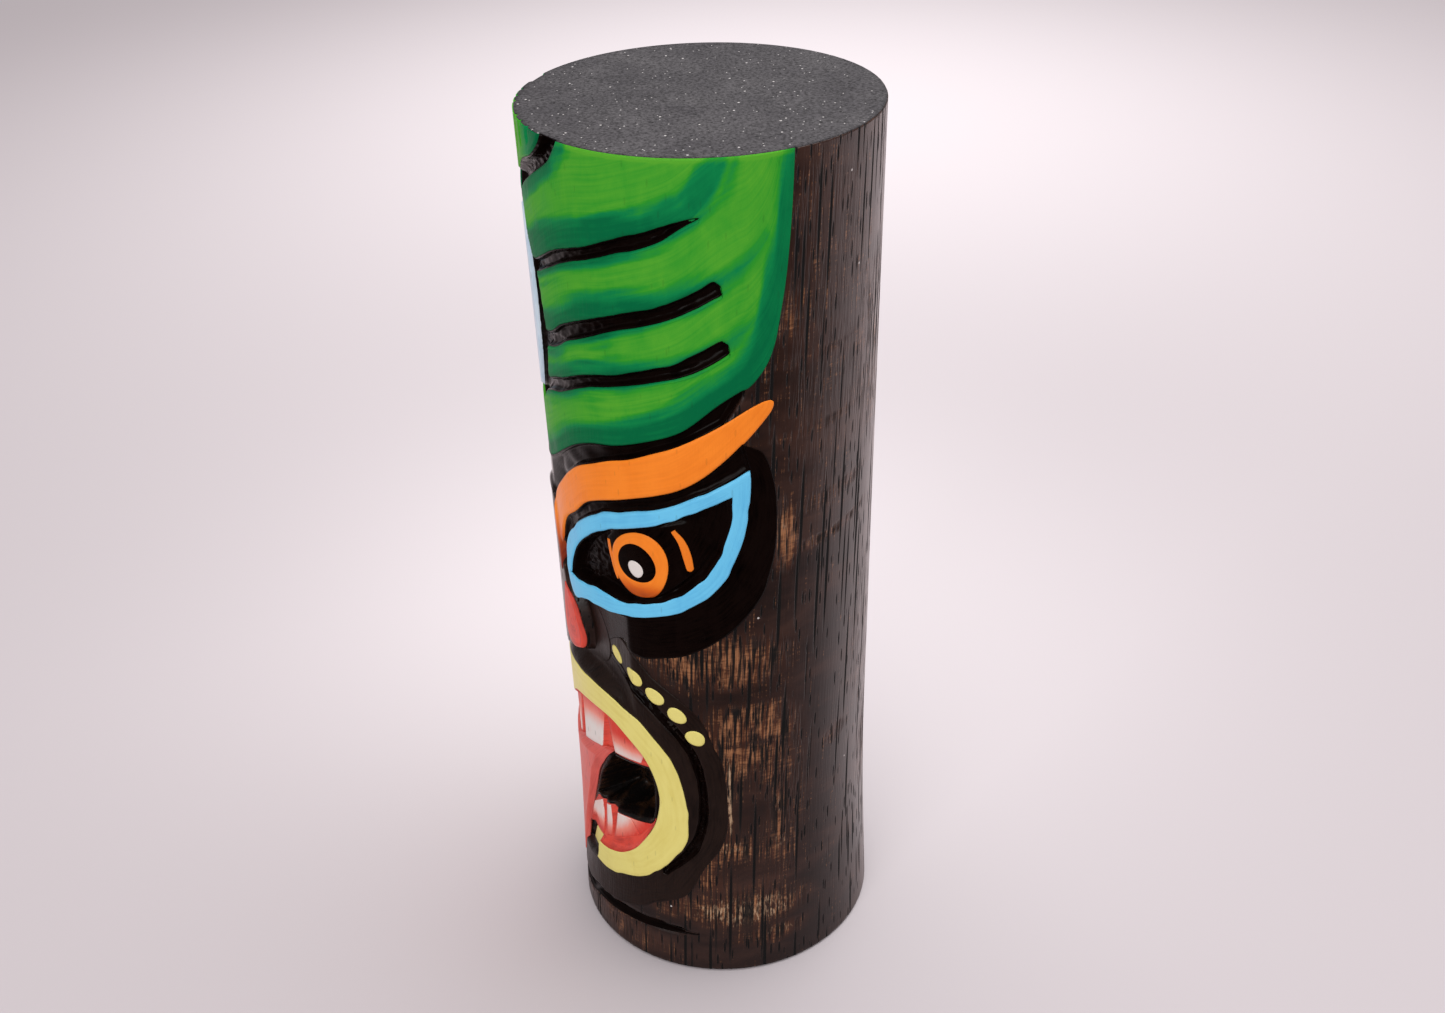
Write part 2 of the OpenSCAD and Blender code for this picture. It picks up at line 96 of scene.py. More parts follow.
def mirrored(line):
    """Both halves of a line that starts at the front: its mirror image, run backwards, and then itself."""
    return np.vstack([line[:0:-1] * [-1, 1], line])


def smooth(t):
    """Ease from 0 to 1: 3t^2 - 2t^3, held at the ends."""
    t = np.clip(t, 0, 1)
    return t * t * (3 - 2 * t)


def ripple(x, y, seed, cells=64):
    """Smooth noise from -1 to 1: random values on a unit lattice, eased between neighbours."""
    lattice = np.random.default_rng(seed).uniform(-1, 1, (cells, cells))
    i, j = np.floor(x).astype(int), np.floor(y).astype(int)
    s, t = smooth(x - i), smooth(y - j)
    near = lattice[i % cells, j % cells] * (1 - s) + lattice[(i + 1) % cells, j % cells] * s
    far = lattice[i % cells, (j + 1) % cells] * (1 - s) + lattice[(i + 1) % cells, (j + 1) % cells] * s
    return near * (1 - t) + far * t


def inside(angle, height, outline, limit=4.0):
    """Depth in mm inside a closed outline: distance to its edge, negative outside and never past limit."""
    p = np.stack([np.ravel(angle) * ARC, np.ravel(height)], 1)
    start = outline * [ARC, 1]
    run = np.roll(start, -1, 0) - start
    depth = np.full(len(p), -limit)
    near = np.flatnonzero(np.all((p > start.min(0) - limit) & (p < start.max(0) + limit), 1))
    for some in np.array_split(near, len(near) * len(start) // BATCH + 1):
        away = p[some][:, None] - start
        share = np.clip((away * run).sum(2) / np.maximum((run**2).sum(1), 1e-9), 0, 1)
        gap = np.sqrt(((away - share[..., None] * run) ** 2).sum(2).min(1)) if len(some) else np.zeros(0)
        spans = (away[..., 1] < 0) != (away[..., 1] < run[:, 1])
        with np.errstate(divide="ignore", invalid="ignore"):
            left = away[..., 0] < run[:, 0] * away[..., 1] / run[:, 1]
        odd = (spans & left).sum(1) % 2 == 1
        depth[some] = np.maximum(np.where(odd, gap, -gap), -limit)
    return depth.reshape(np.shape(angle))


def stroke(spine, widths, count=90, seed=0, cap=0.02, tremor=0.13):
    """Lower and upper edge of a stroke: its spine moved half a width each way, with a tremor."""
    line = along(curve(spine), count) * [ARC, 1]
    run = np.gradient(line, axis=0)
    normal = np.stack([-run[:, 1], run[:, 0]], 1) / np.hypot(*run.T)[:, None]
    share = np.linspace(0, 1, count)
    half = np.interp(share, np.linspace(0, 1, len(widths)), widths) / 2
    half *= np.sqrt(1 - np.clip((share - 1 + cap) / cap, 0, 1) ** 2)
    shakes = share * count / 7  # one shake of the hand to seven points
    lower = line - normal * (half * (1 + tremor * ripple(shakes, share, seed)))[:, None]
    upper = line + normal * (half * (1 + tremor * ripple(shakes, share, seed + 1)))[:, None]
    return lower / [ARC, 1], upper / [ARC, 1]


def ring_of(edges):
    """Closed outline of a strip: out along one edge and back along the other."""
    return np.vstack([edges[0], edges[1][::-1]])


def across_front(edges):
    """Both edges of a strip that starts at the front, each carried on over the figure's right."""
    return tuple(mirrored(edge) for edge in edges)


band_edge = curve([(0, 94), (8, 95.2), (15, 97), (23, 99.6), (31, 102), (40, 103.8), (50, 104.8),
                   (60, 106.3), (70, 108), (76, 109.6), (85, 113), (92, 115), (95, 115.6), (98, 117),
                   (101, 119), (103.5, 122), (105.2, 126), (107, 131), (108.2, 136), (109.2, 142),
                   (110, LOG_HEIGHT)])
leaf_top = curve([(0, 136.8), (6, 139.6), (15.5, 142.3), (24, 144.6), (30, 146.5), (33.5, 148.6),
                  (35.5, LOG_HEIGHT)])
centre_leaf_edge = curve([(0, 141), (9, 144), (18, 145.8), (24, 148), (27, LOG_HEIGHT)])
panel_edge = curve([(0, 136.5), (3, 134.4), (5.4, 130.4), (7.8, 126.5), (8.8, 121.7), (8.4, 116.7),
                    (6.6, 111.7), (3.2, 107.5), (0, 105.7)])
surround_edge = curve([(0, 138.5), (4.5, 136.2), (6.2, 132.6), (10.8, 129.6), (14.8, 127.3), (16.6, 123),
                       (18, 117.5), (16, 112.5), (14.5, 109.6), (9, 106.6), (0, 103.5)])
# Middle line of each groove between the fingers, from the forehead outwards.
FINGERS = [
    [(10, 128.2), (15, 128.8), (23, 130.6), (31, 132.5), (45, 134.9), (56, 136.9), (66, 138.4),
     (75.5, 140.6), (81.5, 141.6)],
    [(14, 117), (23, 118.4), (31, 120.6), (45, 123.4), (56, 125.4), (68, 127.2), (78, 129.2), (87, 131.6)],
    [(10, 108.2), (15, 109.2), (23, 110.7), (31, 112.4), (41, 114.3), (52, 115.7), (63, 117.2),
     (73, 118.6), (81, 120.3), (89, 122.5)]]
finger_grooves = [
    stroke(FINGERS[0], [1.7, 2.0, 2.1, 1.9, 2.1, 1.9, 0.2], seed=11),
    stroke(FINGERS[1], [2.2, 2.5, 2.6, 2.3, 2.3, 2.3, 2.6], seed=13),
    stroke(FINGERS[2], [1.9, 2.1, 2.0, 1.8, 2.0, 2.3, 2.3], seed=15)]
VEINS = [(7, 144.5), (12.5, 146), (19, 147.3)]  # angle and lower end of each cut in the centre leaf
VEIN_DEPTH, VEIN_HALF_WIDTH, VEIN_RUN_OUT = 0.6, 0.5, 1.5
GROOVE_DEPTH = 1.2
PANEL_RISE = 0.4
EASE = 0.35  # mm that an edge is rounded over beside a cut
# Mm over which each kind of cut falls to its floor.
FINGER_WALL, SURROUND_WALL, BAND_WALL, CROWN_WALL, PANEL_WALL = 1.1, 0.9, 0.8, 1.3, 1.2
brow_top = curve([(7.2, 84), (9, 88), (14, 91), (19.5, 93.5), (25, 96), (32, 98.5), (39.5, 100.2),
                  (47, 101.8), (55, 103), (63, 104.6), (71, 106.1), (79, 108), (86.5, 109.9), (94, 111.9),
                  (99, 112.9), (101.7, 113.1)])
band_low = np.vstack([[0, 88.8], brow_top[STRETCH:12 * STRETCH + 1],
                      curve([(88, 111), (90.5, 112.8), (93.2, 115)])])
headband_groove = (along(band_low, 160), along(band_edge[band_edge[:, 0] <= 93.5], 160))


def headdress_depth(angle, height):
    """Depth of the headdress's cuts: each eases from its edge to a floor that the tool's marks ripple."""
    chatter = 1 + 0.09 * ripple(angle * 0.5, height * 2.2, 3) + 0.04 * ripple(angle * 1.1, height * 1.4, 4)
    depth = np.zeros_like(angle)
    for edges in finger_grooves:
        land = inside(angle, height, ring_of(edges))
        depth = np.maximum(depth, GROOVE_DEPTH * smooth((land + EASE) / FINGER_WALL))
    crown = inside(angle, height, np.vstack([mirrored(leaf_top), mirrored(centre_leaf_edge)[::-1]]))
    crown_floor = np.interp(height, [140, 150], [1.4, 2.4])
    depth = np.maximum(depth, crown_floor * smooth((crown + EASE) / CROWN_WALL))
    panel = inside(angle, height, mirrored(panel_edge))
    surround = inside(angle, height, mirrored(surround_edge))
    field = np.minimum(surround + EASE, 0.4 - panel)
    depth = np.maximum(depth, GROOVE_DEPTH * smooth(field / SURROUND_WALL))
    headband = inside(angle, height, ring_of(across_front(headband_groove)))
    wave = 1 + 0.16 * ripple(angle * 0.11, height * 0.6, 6)
    band_floor = np.interp(angle, [6, 16], [0.12, 1]) * GROOVE_DEPTH
    band = band_floor * smooth(headband / BAND_WALL + EASE / 2) * wave
    cut = np.maximum(depth * chatter, band)
    cut -= PANEL_RISE * smooth(panel / PANEL_WALL)
    for middle, low in VEINS:
        away = np.abs(angle - middle) * ARC
        vein = smooth(1 - away / VEIN_HALF_WIDTH) * smooth((height - low) / VEIN_RUN_OUT)
        cut = np.maximum(cut, VEIN_DEPTH * vein)
    return cut


# Carving of the eyes: a lens-shaped socket on each side, hollowed most at its inner corner, with a boss
# left standing in it for the eyeball, and a groove between its rim and the brow. A knife cut its edges.
HAND_CUT = 0.12  # mm that a knife-cut edge wanders
WANDER_LENGTH = 1.7  # mm along the edge from one wander to the next


def unsteady(line, seed):
    """The same line cut by hand: its points wander by up to HAND_CUT, and its two ends stay."""
    step = np.hypot(*(np.diff(line, axis=0) * [ARC, 1]).T)
    at = np.concatenate([[0], np.cumsum(step)])
    beat = at / WANDER_LENGTH
    wander = np.stack([ripple(beat, 0 * at, seed) / ARC, ripple(beat, 0 * at, seed + 1)], 1)
    return line + HAND_CUT * wander * smooth(np.minimum(at, at[-1] - at) / 2)[:, None]


brow_bottom = curve([(101.7, 113.1), (102.9, 112.7), (102, 111.3), (97.5, 108.8), (92.6, 106.4),
                     (86.5, 103.7), (79.5, 101), (72, 98.9), (64, 97.5), (56.5, 96.4), (49, 95.2),
                     (41, 93.9), (34, 92.3), (27, 89.3), (21, 87.2), (17, 85), (13.8, 81.5), (11.4, 77),
                     (9.4, 74)])
eye_top = unsteady(curve([(15.2, 76.8), (16.6, 80.2), (20, 83.5), (25, 86.1), (30, 88.3), (36.5, 90.5),
                          (44, 92.4), (52, 93.4), (63, 95), (71, 96.4), (79, 98.1), (86.5, 99.8),
                          (95, 101.9)]), 101)
eye_bottom = unsteady(curve([(95, 101.9), (94.8, 99), (94.2, 95.2), (93, 91.4), (90, 87.3), (86.5, 83.5),
                             (81, 80.3), (75, 78.2), (67, 76.2), (59.5, 75.05), (52, 74.3), (44, 73.75),
                             (33, 73.5), (27, 72.9), (21, 71.9), (17.5, 73.4), (15.2, 76.8)]), 103)
socket_top = unsteady(curve([(19, 75.9), (21, 78.5), (24, 81.4), (29, 84.2), (35, 86.6), (41, 88.5),
                             (48, 90), (56, 91.2), (63, 92.3), (71, 93.9), (79, 95.7), (89, 97.7)]), 105)
socket_bottom = unsteady(curve([(89, 97.7), (88.8, 93.9), (87, 90.6), (84, 86.8), (80, 83.9), (75, 81.5),
                                (70, 79.8), (63, 78.1), (55, 77), (48, 76.5), (36.5, 76.9), (30, 76.3),
                                (25, 75.9), (19, 75.9)]), 107)
boss_edge = curve([(39.8, 87.4), (45.4, 89.6), (54, 90.9), (62, 92), (70, 92.9), (77, 92.6), (81.5, 89),
                   (78.5, 84.6), (72, 81.6), (64, 78.7), (56, 77.4), (50, 77.7), (44, 79.6), (41.4, 83.5),
                   (39.8, 87.4)])
brow_groove = (along(eye_top, 140), along(brow_bottom[4 * STRETCH:-2 * STRETCH][::-1], 140))
SOCKET_DEPTH = 2.4
BROW_GROOVE_DEPTH = 0.95
BOSS_MIDDLE = (58, 85)
BOSS_DEPTH = 0.35  # of the boss's crown under the log's surface
SOCKET_WALL, BOSS_WALL, BROW_WALL = 1.1, 0.7, 1.0


def eye_depth(angle, height):
    """Depth of an eye: its socket, deeper towards the nose, less a boss that is a shallow dome."""
    chatter = 1 + 0.06 * ripple(angle * 0.7, height * 1.6, 5)
    socket = inside(angle, height, np.vstack([socket_top, socket_bottom[1:]]))
    bottom = SOCKET_DEPTH * np.interp(angle, [20, 40, 60, 80, 90], [0.9, 1.1, 0.75, 0.6, 0.45])
    depth = bottom * smooth((socket + EASE / 2) / SOCKET_WALL) * chatter
    boss = inside(angle, height, boss_edge)
    across, up = (angle - BOSS_MIDDLE[0]) * ARC, height - BOSS_MIDDLE[1]
    crown = BOSS_DEPTH + 0.012 * across**2 + 0.008 * up**2
    depth += (np.minimum(crown, depth) - depth) * smooth(boss / BOSS_WALL)
    groove = inside(angle, height, ring_of(brow_groove))
    return np.maximum(depth, BROW_GROOVE_DEPTH * smooth((groove + EASE) / BROW_WALL) * chatter)


# Carving of the nose: a ridge left at the log's own surface down the middle, with flared wings, and a flat
# chisel cut on each cheek that runs in behind the wing.
wing_edge = curve([(11, 72), (14, 70.6), (16.9, 68.4), (19.2, 65.7), (20.8, 63), (20, 60.9), (16.4, 60),
                   (11.5, 60.1), (8.5, 61.6), (7.6, 64.5), (9, 68.5), (11, 72)])
nose_edge = curve([(0, 90), (8, 88), (10.5, 80), (12.5, 74), (14.8, 71.2), (17.5, 68.8), (19.9, 66),
                   (21.5, 63), (20.6, 60.6), (16.4, 59.5), (9, 58.2), (0, 57)])
CHEEK_CREASE = 50  # angle where the flat cheek cut leaves the round surface
CHEEK_FACING = 24  # angle that the cheek cut faces
NOSE_DROP, NOSE_RISE = 1.0, 0.4  # mm from the ridge to the wing's edge, and of the ridge above the blank
lip_outer = unsteady(curve([(0, 55.3), (10, 56), (20, 56.5), (30, 56.5), (40, 55.5), (50, 53.5), (57, 50.5),
                            (63, 47), (67, 42), (69, 37), (69, 31), (67, 28), (62, 24.5), (55, 21),
                            (48, 18.5), (40, 17), (30, 15.2), (20, 14.8), (0, 14.6)]), 109)


def nose_depth(angle, height):
    """Depth about the nose: the cheek cut is a plane, so it is the radius less the plane's distance."""
    radius = blank(height)
    plane = math.cos(math.radians(CHEEK_CREASE - CHEEK_FACING)) / np.cos(np.radians(angle - CHEEK_FACING))
    cheek = np.where(angle < CHEEK_CREASE, radius * (1 - plane), 0)
    below_eye = smooth(-inside(angle, height, np.vstack([eye_top, eye_bottom[1:]])) / 0.9) * (height < 80)
    above_lip = smooth(-inside(angle, height, mirrored(lip_outer)) / 2.5) * (height > 50)
    bridge_side = smooth((90 - height) / 6) * smooth((angle - 10) / 3)
    cheek = np.maximum(cheek, 0) * below_eye * above_lip * np.where(height > 74, bridge_side, 1)
    nose = inside(angle, height, mirrored(nose_edge))
    slope = NOSE_DROP * smooth((angle - 5) / 21) - NOSE_RISE
    return cheek + (np.minimum(slope, cheek) - cheek) * smooth((nose + 0.3) / 1.0)


# Carving of the mouth: the lip is left at the surface, the teeth stand a little behind it, a pocket is
# hollowed on each side, and a long tongue is left proud of everything, hanging over the lower lip.
mouth_edge = curve([(0, 46), (10, 49.4), (20, 51), (30, 51.5), (38, 51), (45, 49), (52, 46), (56, 42.5),
                    (58, 38.5), (57.5, 35), (55, 31), (50, 27), (45, 24), (38, 21.5), (30, 20), (22, 19.4),
                    (10, 19), (0, 18.8)])
pocket_top = curve([(15, 25.6), (17.2, 28.2), (20.2, 31.8), (22.8, 35), (27.2, 38.2), (31, 40.8), (33.5, 42),
                    (41, 42.5), (49.5, 42.8), (54, 42.4), (55.8, 39)])
pocket_floor = curve([(15, 25.6), (17.5, 27.4), (20, 28.8), (24, 28.4), (28.5, 29.2), (33.8, 28.8),
                      (41.8, 29.5), (49.8, 29.9), (53.6, 31), (55.4, 34), (55.8, 39)])
tongue_root = curve([(0, 37.5), (9, 38.8), (18, 40.2), (26.5, 41.5), (34, 42.4)])
tongue_foot = curve([(0, 9), (3.5, 12.5), (6.5, 16.5), (9.5, 20.5), (13.2, 24.8), (16.2, 28.2), (19.2, 31.8),
                     (21.8, 35), (26.2, 38), (30, 40.4), (34, 42.4)])
beside_tongue = curve([(3, 13.2), (9, 13.4), (15, 13.9), (20.8, 15), (22, 18), (22.8, 20.5), (16, 24),
                       (9, 20.5), (3, 13.2)])
TOOTH_GAPS = [
    np.array([(0, 46), (-1, 36.5), (1, 36.5)]),
    np.array([(11.2, 48.6), (5.5, 37.5), (9.6, 38)]),
    np.array([(31.5, 50.6), (26.7, 40.6), (35, 41.6)]),
    np.array([(23.3, 21.5), (22.4, 30), (26, 30)]),
    np.array([(30, 22.6), (29, 30), (33.8, 30)])]
lip_line = stroke([(35, 62.6), (43, 61.6), (49, 59.9), (56, 57.4), (62, 54.8), (67, 52), (71.5, 48.6),
                   (74, 45), (75.3, 41), (75.2, 36.3), (74, 31.5), (71, 28), (65, 24.4), (58, 21)],
                  [1.2, 1.6, 1.8, 1.5, 1.4, 1.6, 1.9, 1.6], 160, 21, tremor=0.25)
chin_groove = stroke([(0, 5), (11, 5.6), (18, 6.8), (28, 7.4), (38, 8), (48, 8.4), (58, 8.6), (72, 8.3)],
                     [2.2, 2.3, 2.1, 1.9, 1.6, 0.4], seed=23)
tongue_loop = np.vstack([mirrored(tongue_foot), mirrored(tongue_root)[::-1]])
TEETH_DEPTH, TOOTH_GAP_DEPTH = 1.1, 0.7
POCKET_DEPTH, POCKET_WALL = 8.5, 2.0
SLOT_DEPTH = 1.4  # of the slot beside the tongue's foot
TONGUE_TIP, TONGUE_RISE, TONGUE_FLANK = 9, 1.6, 1.3  # height of its tip, rise in front, drop at its sides
LIP_RISE = 0.35
LIP_LINE_DEPTH, CHIN_GROOVE_DEPTH = 1.0, 1.1


def mouth_depth(angle, height):
    """Depth of the mouth: the teeth's level, then pockets, the slot beside the tongue, and the tongue."""
    teeth = TEETH_DEPTH * np.interp(angle, [4, 22], [0.5, 1])
    for gap in TOOTH_GAPS:
        teeth += TOOTH_GAP_DEPTH * smooth((inside(angle, height, gap) + 0.3) / 0.8)
    mouth = inside(angle, height, mirrored(mouth_edge))
    depth = teeth * smooth(mouth / 0.5)
    pocket = inside(angle, height, ring_of((pocket_floor, pocket_top)))
    depth = np.maximum(depth, POCKET_DEPTH * smooth(pocket / POCKET_WALL))
    depth = np.maximum(depth, SLOT_DEPTH * smooth(inside(angle, height, beside_tongue) / 1.0))
    lip = np.minimum(inside(angle, height, mirrored(lip_outer)), -mouth)
    depth -= LIP_RISE * smooth(lip / 1.4) * smooth((height - 22) / 12)
    tongue = inside(angle, height, tongue_loop)
    flank = TONGUE_FLANK * smooth((height - TONGUE_TIP) / 8)
    slope = np.interp(height, [TONGUE_TIP, 20, 30, 37, 42], [0.9, 1.0, 1.3, 2.0, 3.8])
    crown = flank - (flank + TONGUE_RISE * smooth((height - TONGUE_TIP) / 6)) * smooth(tongue / slope)
    depth += (crown - depth) * smooth(tongue / 0.3)
    cut_line = LIP_LINE_DEPTH * smooth((inside(angle, height, ring_of(lip_line)) + 0.2) / 0.8)
    depth = np.maximum(depth, cut_line * (1 + 0.35 * ripple(angle * 0.7, height * 1.5, 25)))
    chin = inside(angle, height, ring_of(across_front(chin_groove)))
    return np.maximum(depth, CHIN_GROOVE_DEPTH * smooth((chin + 0.2) / 0.9))


def surface(angle, height):
    """Radius of the carved log: the blank less the deepest cut and plus what stands proud, each side."""
    turn = np.abs(angle)
    cuts = [rule(turn, height) for rule in (headdress_depth, eye_depth, nose_depth, mouth_depth)]
    return blank(height) - np.maximum.reduce(cuts) - sum(np.minimum(cut, 0) for cut in cuts)


def place(angle, height, radius):
    """Points in metres from angle, height and radius: the front looks along -Y."""
    turn = np.radians(angle)
    return np.stack([radius * np.sin(turn), -radius * np.cos(turn), height], -1) * MM


# Wood of the log as one closed skin with the face carved in it: angle by height, finer over the face.
# It is stained near black, scorched in bands and waxed, with long open pores that show as dashes.
MIX_SHARE, MIX_FROM, MIX_TO = 0, 6, 7  # sockets of a colour mix
VALUE, FROM_LOW, FROM_HIGH, TO_LOW, TO_HIGH = range(5)  # sockets of a map range


def linear(code):
    """Linear colour of an sRGB hex value."""
    s = np.array([int(code[i:i + 2], 16) for i in (1, 3, 5)]) / 255
    return (*np.where(s <= 0.04045, s / 12.92, ((s + 0.055) / 1.055) ** 2.4), 1)


def add(material, kind, inputs=None, stops=None, **settings):
    """One shader node with its settings: an input takes a value, a socket, or a node's first output."""
    new = material.node_tree.nodes.new(kind)
    for key, value in settings.items():
        setattr(new, key, value)
    for key, value in (inputs or {}).items():
        if isinstance(value, bpy.types.Node):
            value = next(output for output in value.outputs if output.enabled)
        if isinstance(value, bpy.types.NodeSocket):
            material.node_tree.links.new(value, new.inputs[key])
        else:
            new.inputs[key].default_value = value
    if stops:
        ramp = new.color_ramp.elements
        ramp.remove(ramp[1])
        ramp[0].position, ramp[0].color = stops[0]
        for position, colour in stops[1:]:
            ramp.new(position).color = colour
    return new


def empty_material(name):
    """A new material with no node in it yet."""
    made = bpy.data.materials.new(name)
    made.use_nodes = True
    made.node_tree.nodes.clear()
    return made


def skin(name, points, faces, material, uv=None, fields=None):
    """A smooth mesh object at the origin from arrays: vertices, faces, flat map in dm and point values."""
    mesh = bpy.data.meshes.new(name)
    mesh.from_pydata(points.tolist(), [], faces)
    mesh.shade_smooth()
    if uv is not None:
        layer = mesh.uv_layers.new(name="paint")
        corner = np.zeros(len(mesh.loops), np.int32)
        mesh.loops.foreach_get("vertex_index", corner)
        layer.data.foreach_set("uv", uv[corner].astype(np.float32).ravel())
    for key, values in (fields or {}).items():
        mesh.attributes.new(key, "FLOAT", "POINT").data.foreach_set("value", values.astype(np.float32))
    mesh.materials.append(material)
    made = bpy.data.objects.new(name, mesh)
    bpy.context.scene.collection.objects.link(made)
    return made


def quads(rows, columns, closed=False):
    """Faces of a grid numbered row by row: outward when columns run with the angle and rows run upwards."""
    i, j = np.meshgrid(np.arange(rows - 1), np.arange(columns if closed else columns - 1), indexing="ij")
    k = (j + 1) % columns
    low, high = i * columns, (i + 1) * columns
    return np.stack([low + j, low + k, high + k, high + j], -1).reshape(-1, 4)


FACE_HALF = 112  # degrees on each side of the front that the fine mesh covers
EDGE_ROUND, RIM_ROUND = 0.5, 0.25  # mm that the base's edge and the top's rim are worn by
log_angles = np.linspace(-FACE_HALF, FACE_HALF, 400)
log_angles = np.concatenate([log_angles, np.linspace(FACE_HALF, 360 - FACE_HALF, 28)[1:-1]])
top_rows = [LOG_HEIGHT - 0.3, LOG_HEIGHT - 0.1, LOG_HEIGHT]
log_heights = np.concatenate([[0, 0.15, EDGE_ROUND], np.linspace(1, LOG_HEIGHT - 1, 228), top_rows])
grid_angle, grid_height = np.meshgrid(log_angles, log_heights)
carved = surface(grid_angle, grid_height)
face_outline = np.vstack([mirrored(band_edge), [[0, LOG_HEIGHT + 9]]])
band_outer = curve([(0, 56.5), (14, 58.5), (27, 62), (34, 66), (43, 68), (50, 67), (58, 63.2), (67, 60),
                    (73, 57.2), (77, 54.3), (80, 50), (83, 46.3), (84, 41.3), (84.3, 35.5), (83.7, 31.8),
                    (81, 28), (75, 23.8), (71, 20), (66, 16.6), (54, 13.6), (48, 11.6), (38, 9.8), (28, 8.8),
                    (14, 7.2), (0, 6.4)])
eye_ground = curve([(92.6, 106.4), (96, 105.6), (100, 104), (103, 99.3), (104, 94.3), (103.4, 87.7),
                    (101, 82.7), (98, 78.9), (90, 74.3), (81, 71), (71, 68.5), (63, 67.5), (55, 66.6),
                    (49, 67.2), (46, 68.5), (38, 66.5), (30, 64), (27, 67), (22, 70), (17.5, 72), (14, 76),
                    (15, 82), (21, 87.2)])
over_eye = slice(5 * STRETCH, 11 * STRETCH + 2)  # steps of the brow's lower edge, counted from the nose
eye_field = np.vstack([eye_ground, brow_bottom[::-1][over_eye]])
UNDER_COAT = 0.15  # mm that the wood is lowered where a coat hides it
# Outlines of the coats that hide the wood, and the mm that each is grown by.
painted = [(face_outline, 0.0), (mirrored(band_outer), 0.0), (eye_field, 0.0),
           (ring_of(across_front(headband_groove)), 0.8), (ring_of(across_front(chin_groove)), 0.25)]
under_paint = np.full(grid_angle.shape, -4.0)
for outline, grown in painted:
    under_paint = np.maximum(under_paint, inside(np.abs(grid_angle), grid_height, outline) + grown)
lowest = carved.copy()
for shift_row in (-1, 0, 1):
    for shift_column in (-1, 0, 1):
        moved = np.roll(np.roll(carved, shift_row, 0), shift_column, 1)
        lowest[1:-1] = np.minimum(lowest, moved)[1:-1]
carved = np.where(under_paint > 0.4, lowest - UNDER_COAT, carved)
carved[0] -= EDGE_ROUND
carved[1] -= EDGE_ROUND * 0.5
carved[-1] -= RIM_ROUND
ring_count = len(log_angles)
log_points = place(grid_angle, grid_height, carved).reshape(-1, 3)
caps = np.array([[0, 0, 0], [0, 0, LOG_HEIGHT * MM]])
first, last = np.arange(ring_count), (len(log_heights) - 1) * ring_count + np.arange(ring_count)
cap_faces = np.vstack([
    np.stack([np.roll(first, -1), first, np.full(ring_count, len(log_points))], 1),
    np.stack([last, np.roll(last, -1), np.full(ring_count, len(log_points) + 1)], 1)])
log_faces = quads(len(log_heights), ring_count, True).tolist() + cap_faces.tolist()
GRAIN_LEAN = (-0.038, -0.022, 0)  # radians that the grain leans, about 2.5 degrees


def drawn_out(material, across, lengthwise, offset):
    """Places in cells drawn out along the grain: the cell's size in mm across the grain and along it."""
    spot = add(material, "ShaderNodeTexCoord").outputs["Object"]
    size = (across * MM, across * MM, lengthwise * MM)
    inputs = {"Vector": spot, "Location": [offset * MM] * 3, "Rotation": GRAIN_LEAN, "Scale": size}
    return add(material, "ShaderNodeMapping", inputs, vector_type="TEXTURE")


def grain(material, across, lengthwise, detail=3.0, roughness=0.55, distortion=0.0, offset=0.0):
    """Noise drawn out along the grain: the cell's size in mm across the grain and along it."""
    cells = drawn_out(material, across, lengthwise, offset)
    noise = add(material, "ShaderNodeTexNoise", {
        "Vector": cells, "Scale": 1.0, "Detail": detail, "Roughness": roughness, "Distortion": distortion})
    return noise.outputs["Fac"]


def pores(material, across, lengthwise, width, offset=0.0):
    """Open pores as spindles along the grain: 1 within width mm about points at a spacing in mm, else 0."""
    cells = drawn_out(material, across, lengthwise, offset)
    away = add(material, "ShaderNodeTexVoronoi", {"Vector": cells, "Scale": 1.0}).outputs["Distance"]
    edge = width / across / 2
    return add(material, "ShaderNodeMapRange", {VALUE: away, FROM_LOW: edge * 1.15, FROM_HIGH: edge * 0.8})


# Hardwood stained near black, scorched and waxed: dark brown clouds, warm brown flecks where the stain is
# rubbed thin, black pores along the grain, pale scratches, a painted highlight along one cut edge, and a
# soft sheen that shows only at a slant.
# Real fibres are about 0.05 mm wide and real pores 0.2 mm; both are drawn coarser, so that they show.
wood = empty_material("scorched_waxed_hardwood")
bare = add(wood, "ShaderNodeAttribute", attribute_name="worn").outputs["Fac"]
scratch_and_highlight_share = add(wood, "ShaderNodeAttribute", attribute_name="scratched_and_highlit").outputs["Fac"]
clouds = grain(wood, across=24, lengthwise=7, detail=5, roughness=0.62, distortion=0.4)
fibres = grain(wood, across=0.34, lengthwise=9, detail=3, roughness=0.6, offset=21.0)
sanding = grain(wood, across=2.4, lengthwise=0.5, detail=4, roughness=0.7, distortion=0.3, offset=7.0)
hairlines = grain(wood, across=0.3, lengthwise=1.3, detail=3, roughness=0.65, offset=3.0)
dark_lines = grain(wood, across=0.46, lengthwise=10, detail=2, roughness=0.6, offset=33.0)
stain_shades = [(0.3, linear("#160d0a")), (0.5, linear("#261713")), (0.72, linear("#3f2921"))]
stain = add(wood, "ShaderNodeValToRGB", {"Fac": clouds}, stain_shades)
thin_stain = add(wood, "ShaderNodeMix", {MIX_SHARE: bare, MIX_FROM: stain, MIX_TO: linear("#562f1c")},
                 data_type="RGBA")
uneven = add(wood, "ShaderNodeMath", {0: sanding, 1: 1.6, 2: bare}, operation="MULTIPLY_ADD")
streaked = add(wood, "ShaderNodeMath", {0: fibres, 1: 2.6, 2: uneven}, operation="MULTIPLY_ADD")
rubbed = add(wood, "ShaderNodeMapRange", {VALUE: streaked, FROM_LOW: 2.56, FROM_HIGH: 3.15, TO_HIGH: 0.95})
brown = add(wood, "ShaderNodeMix", {MIX_SHARE: rubbed, MIX_FROM: thin_stain, MIX_TO: linear("#a16d48")},
            data_type="RGBA")
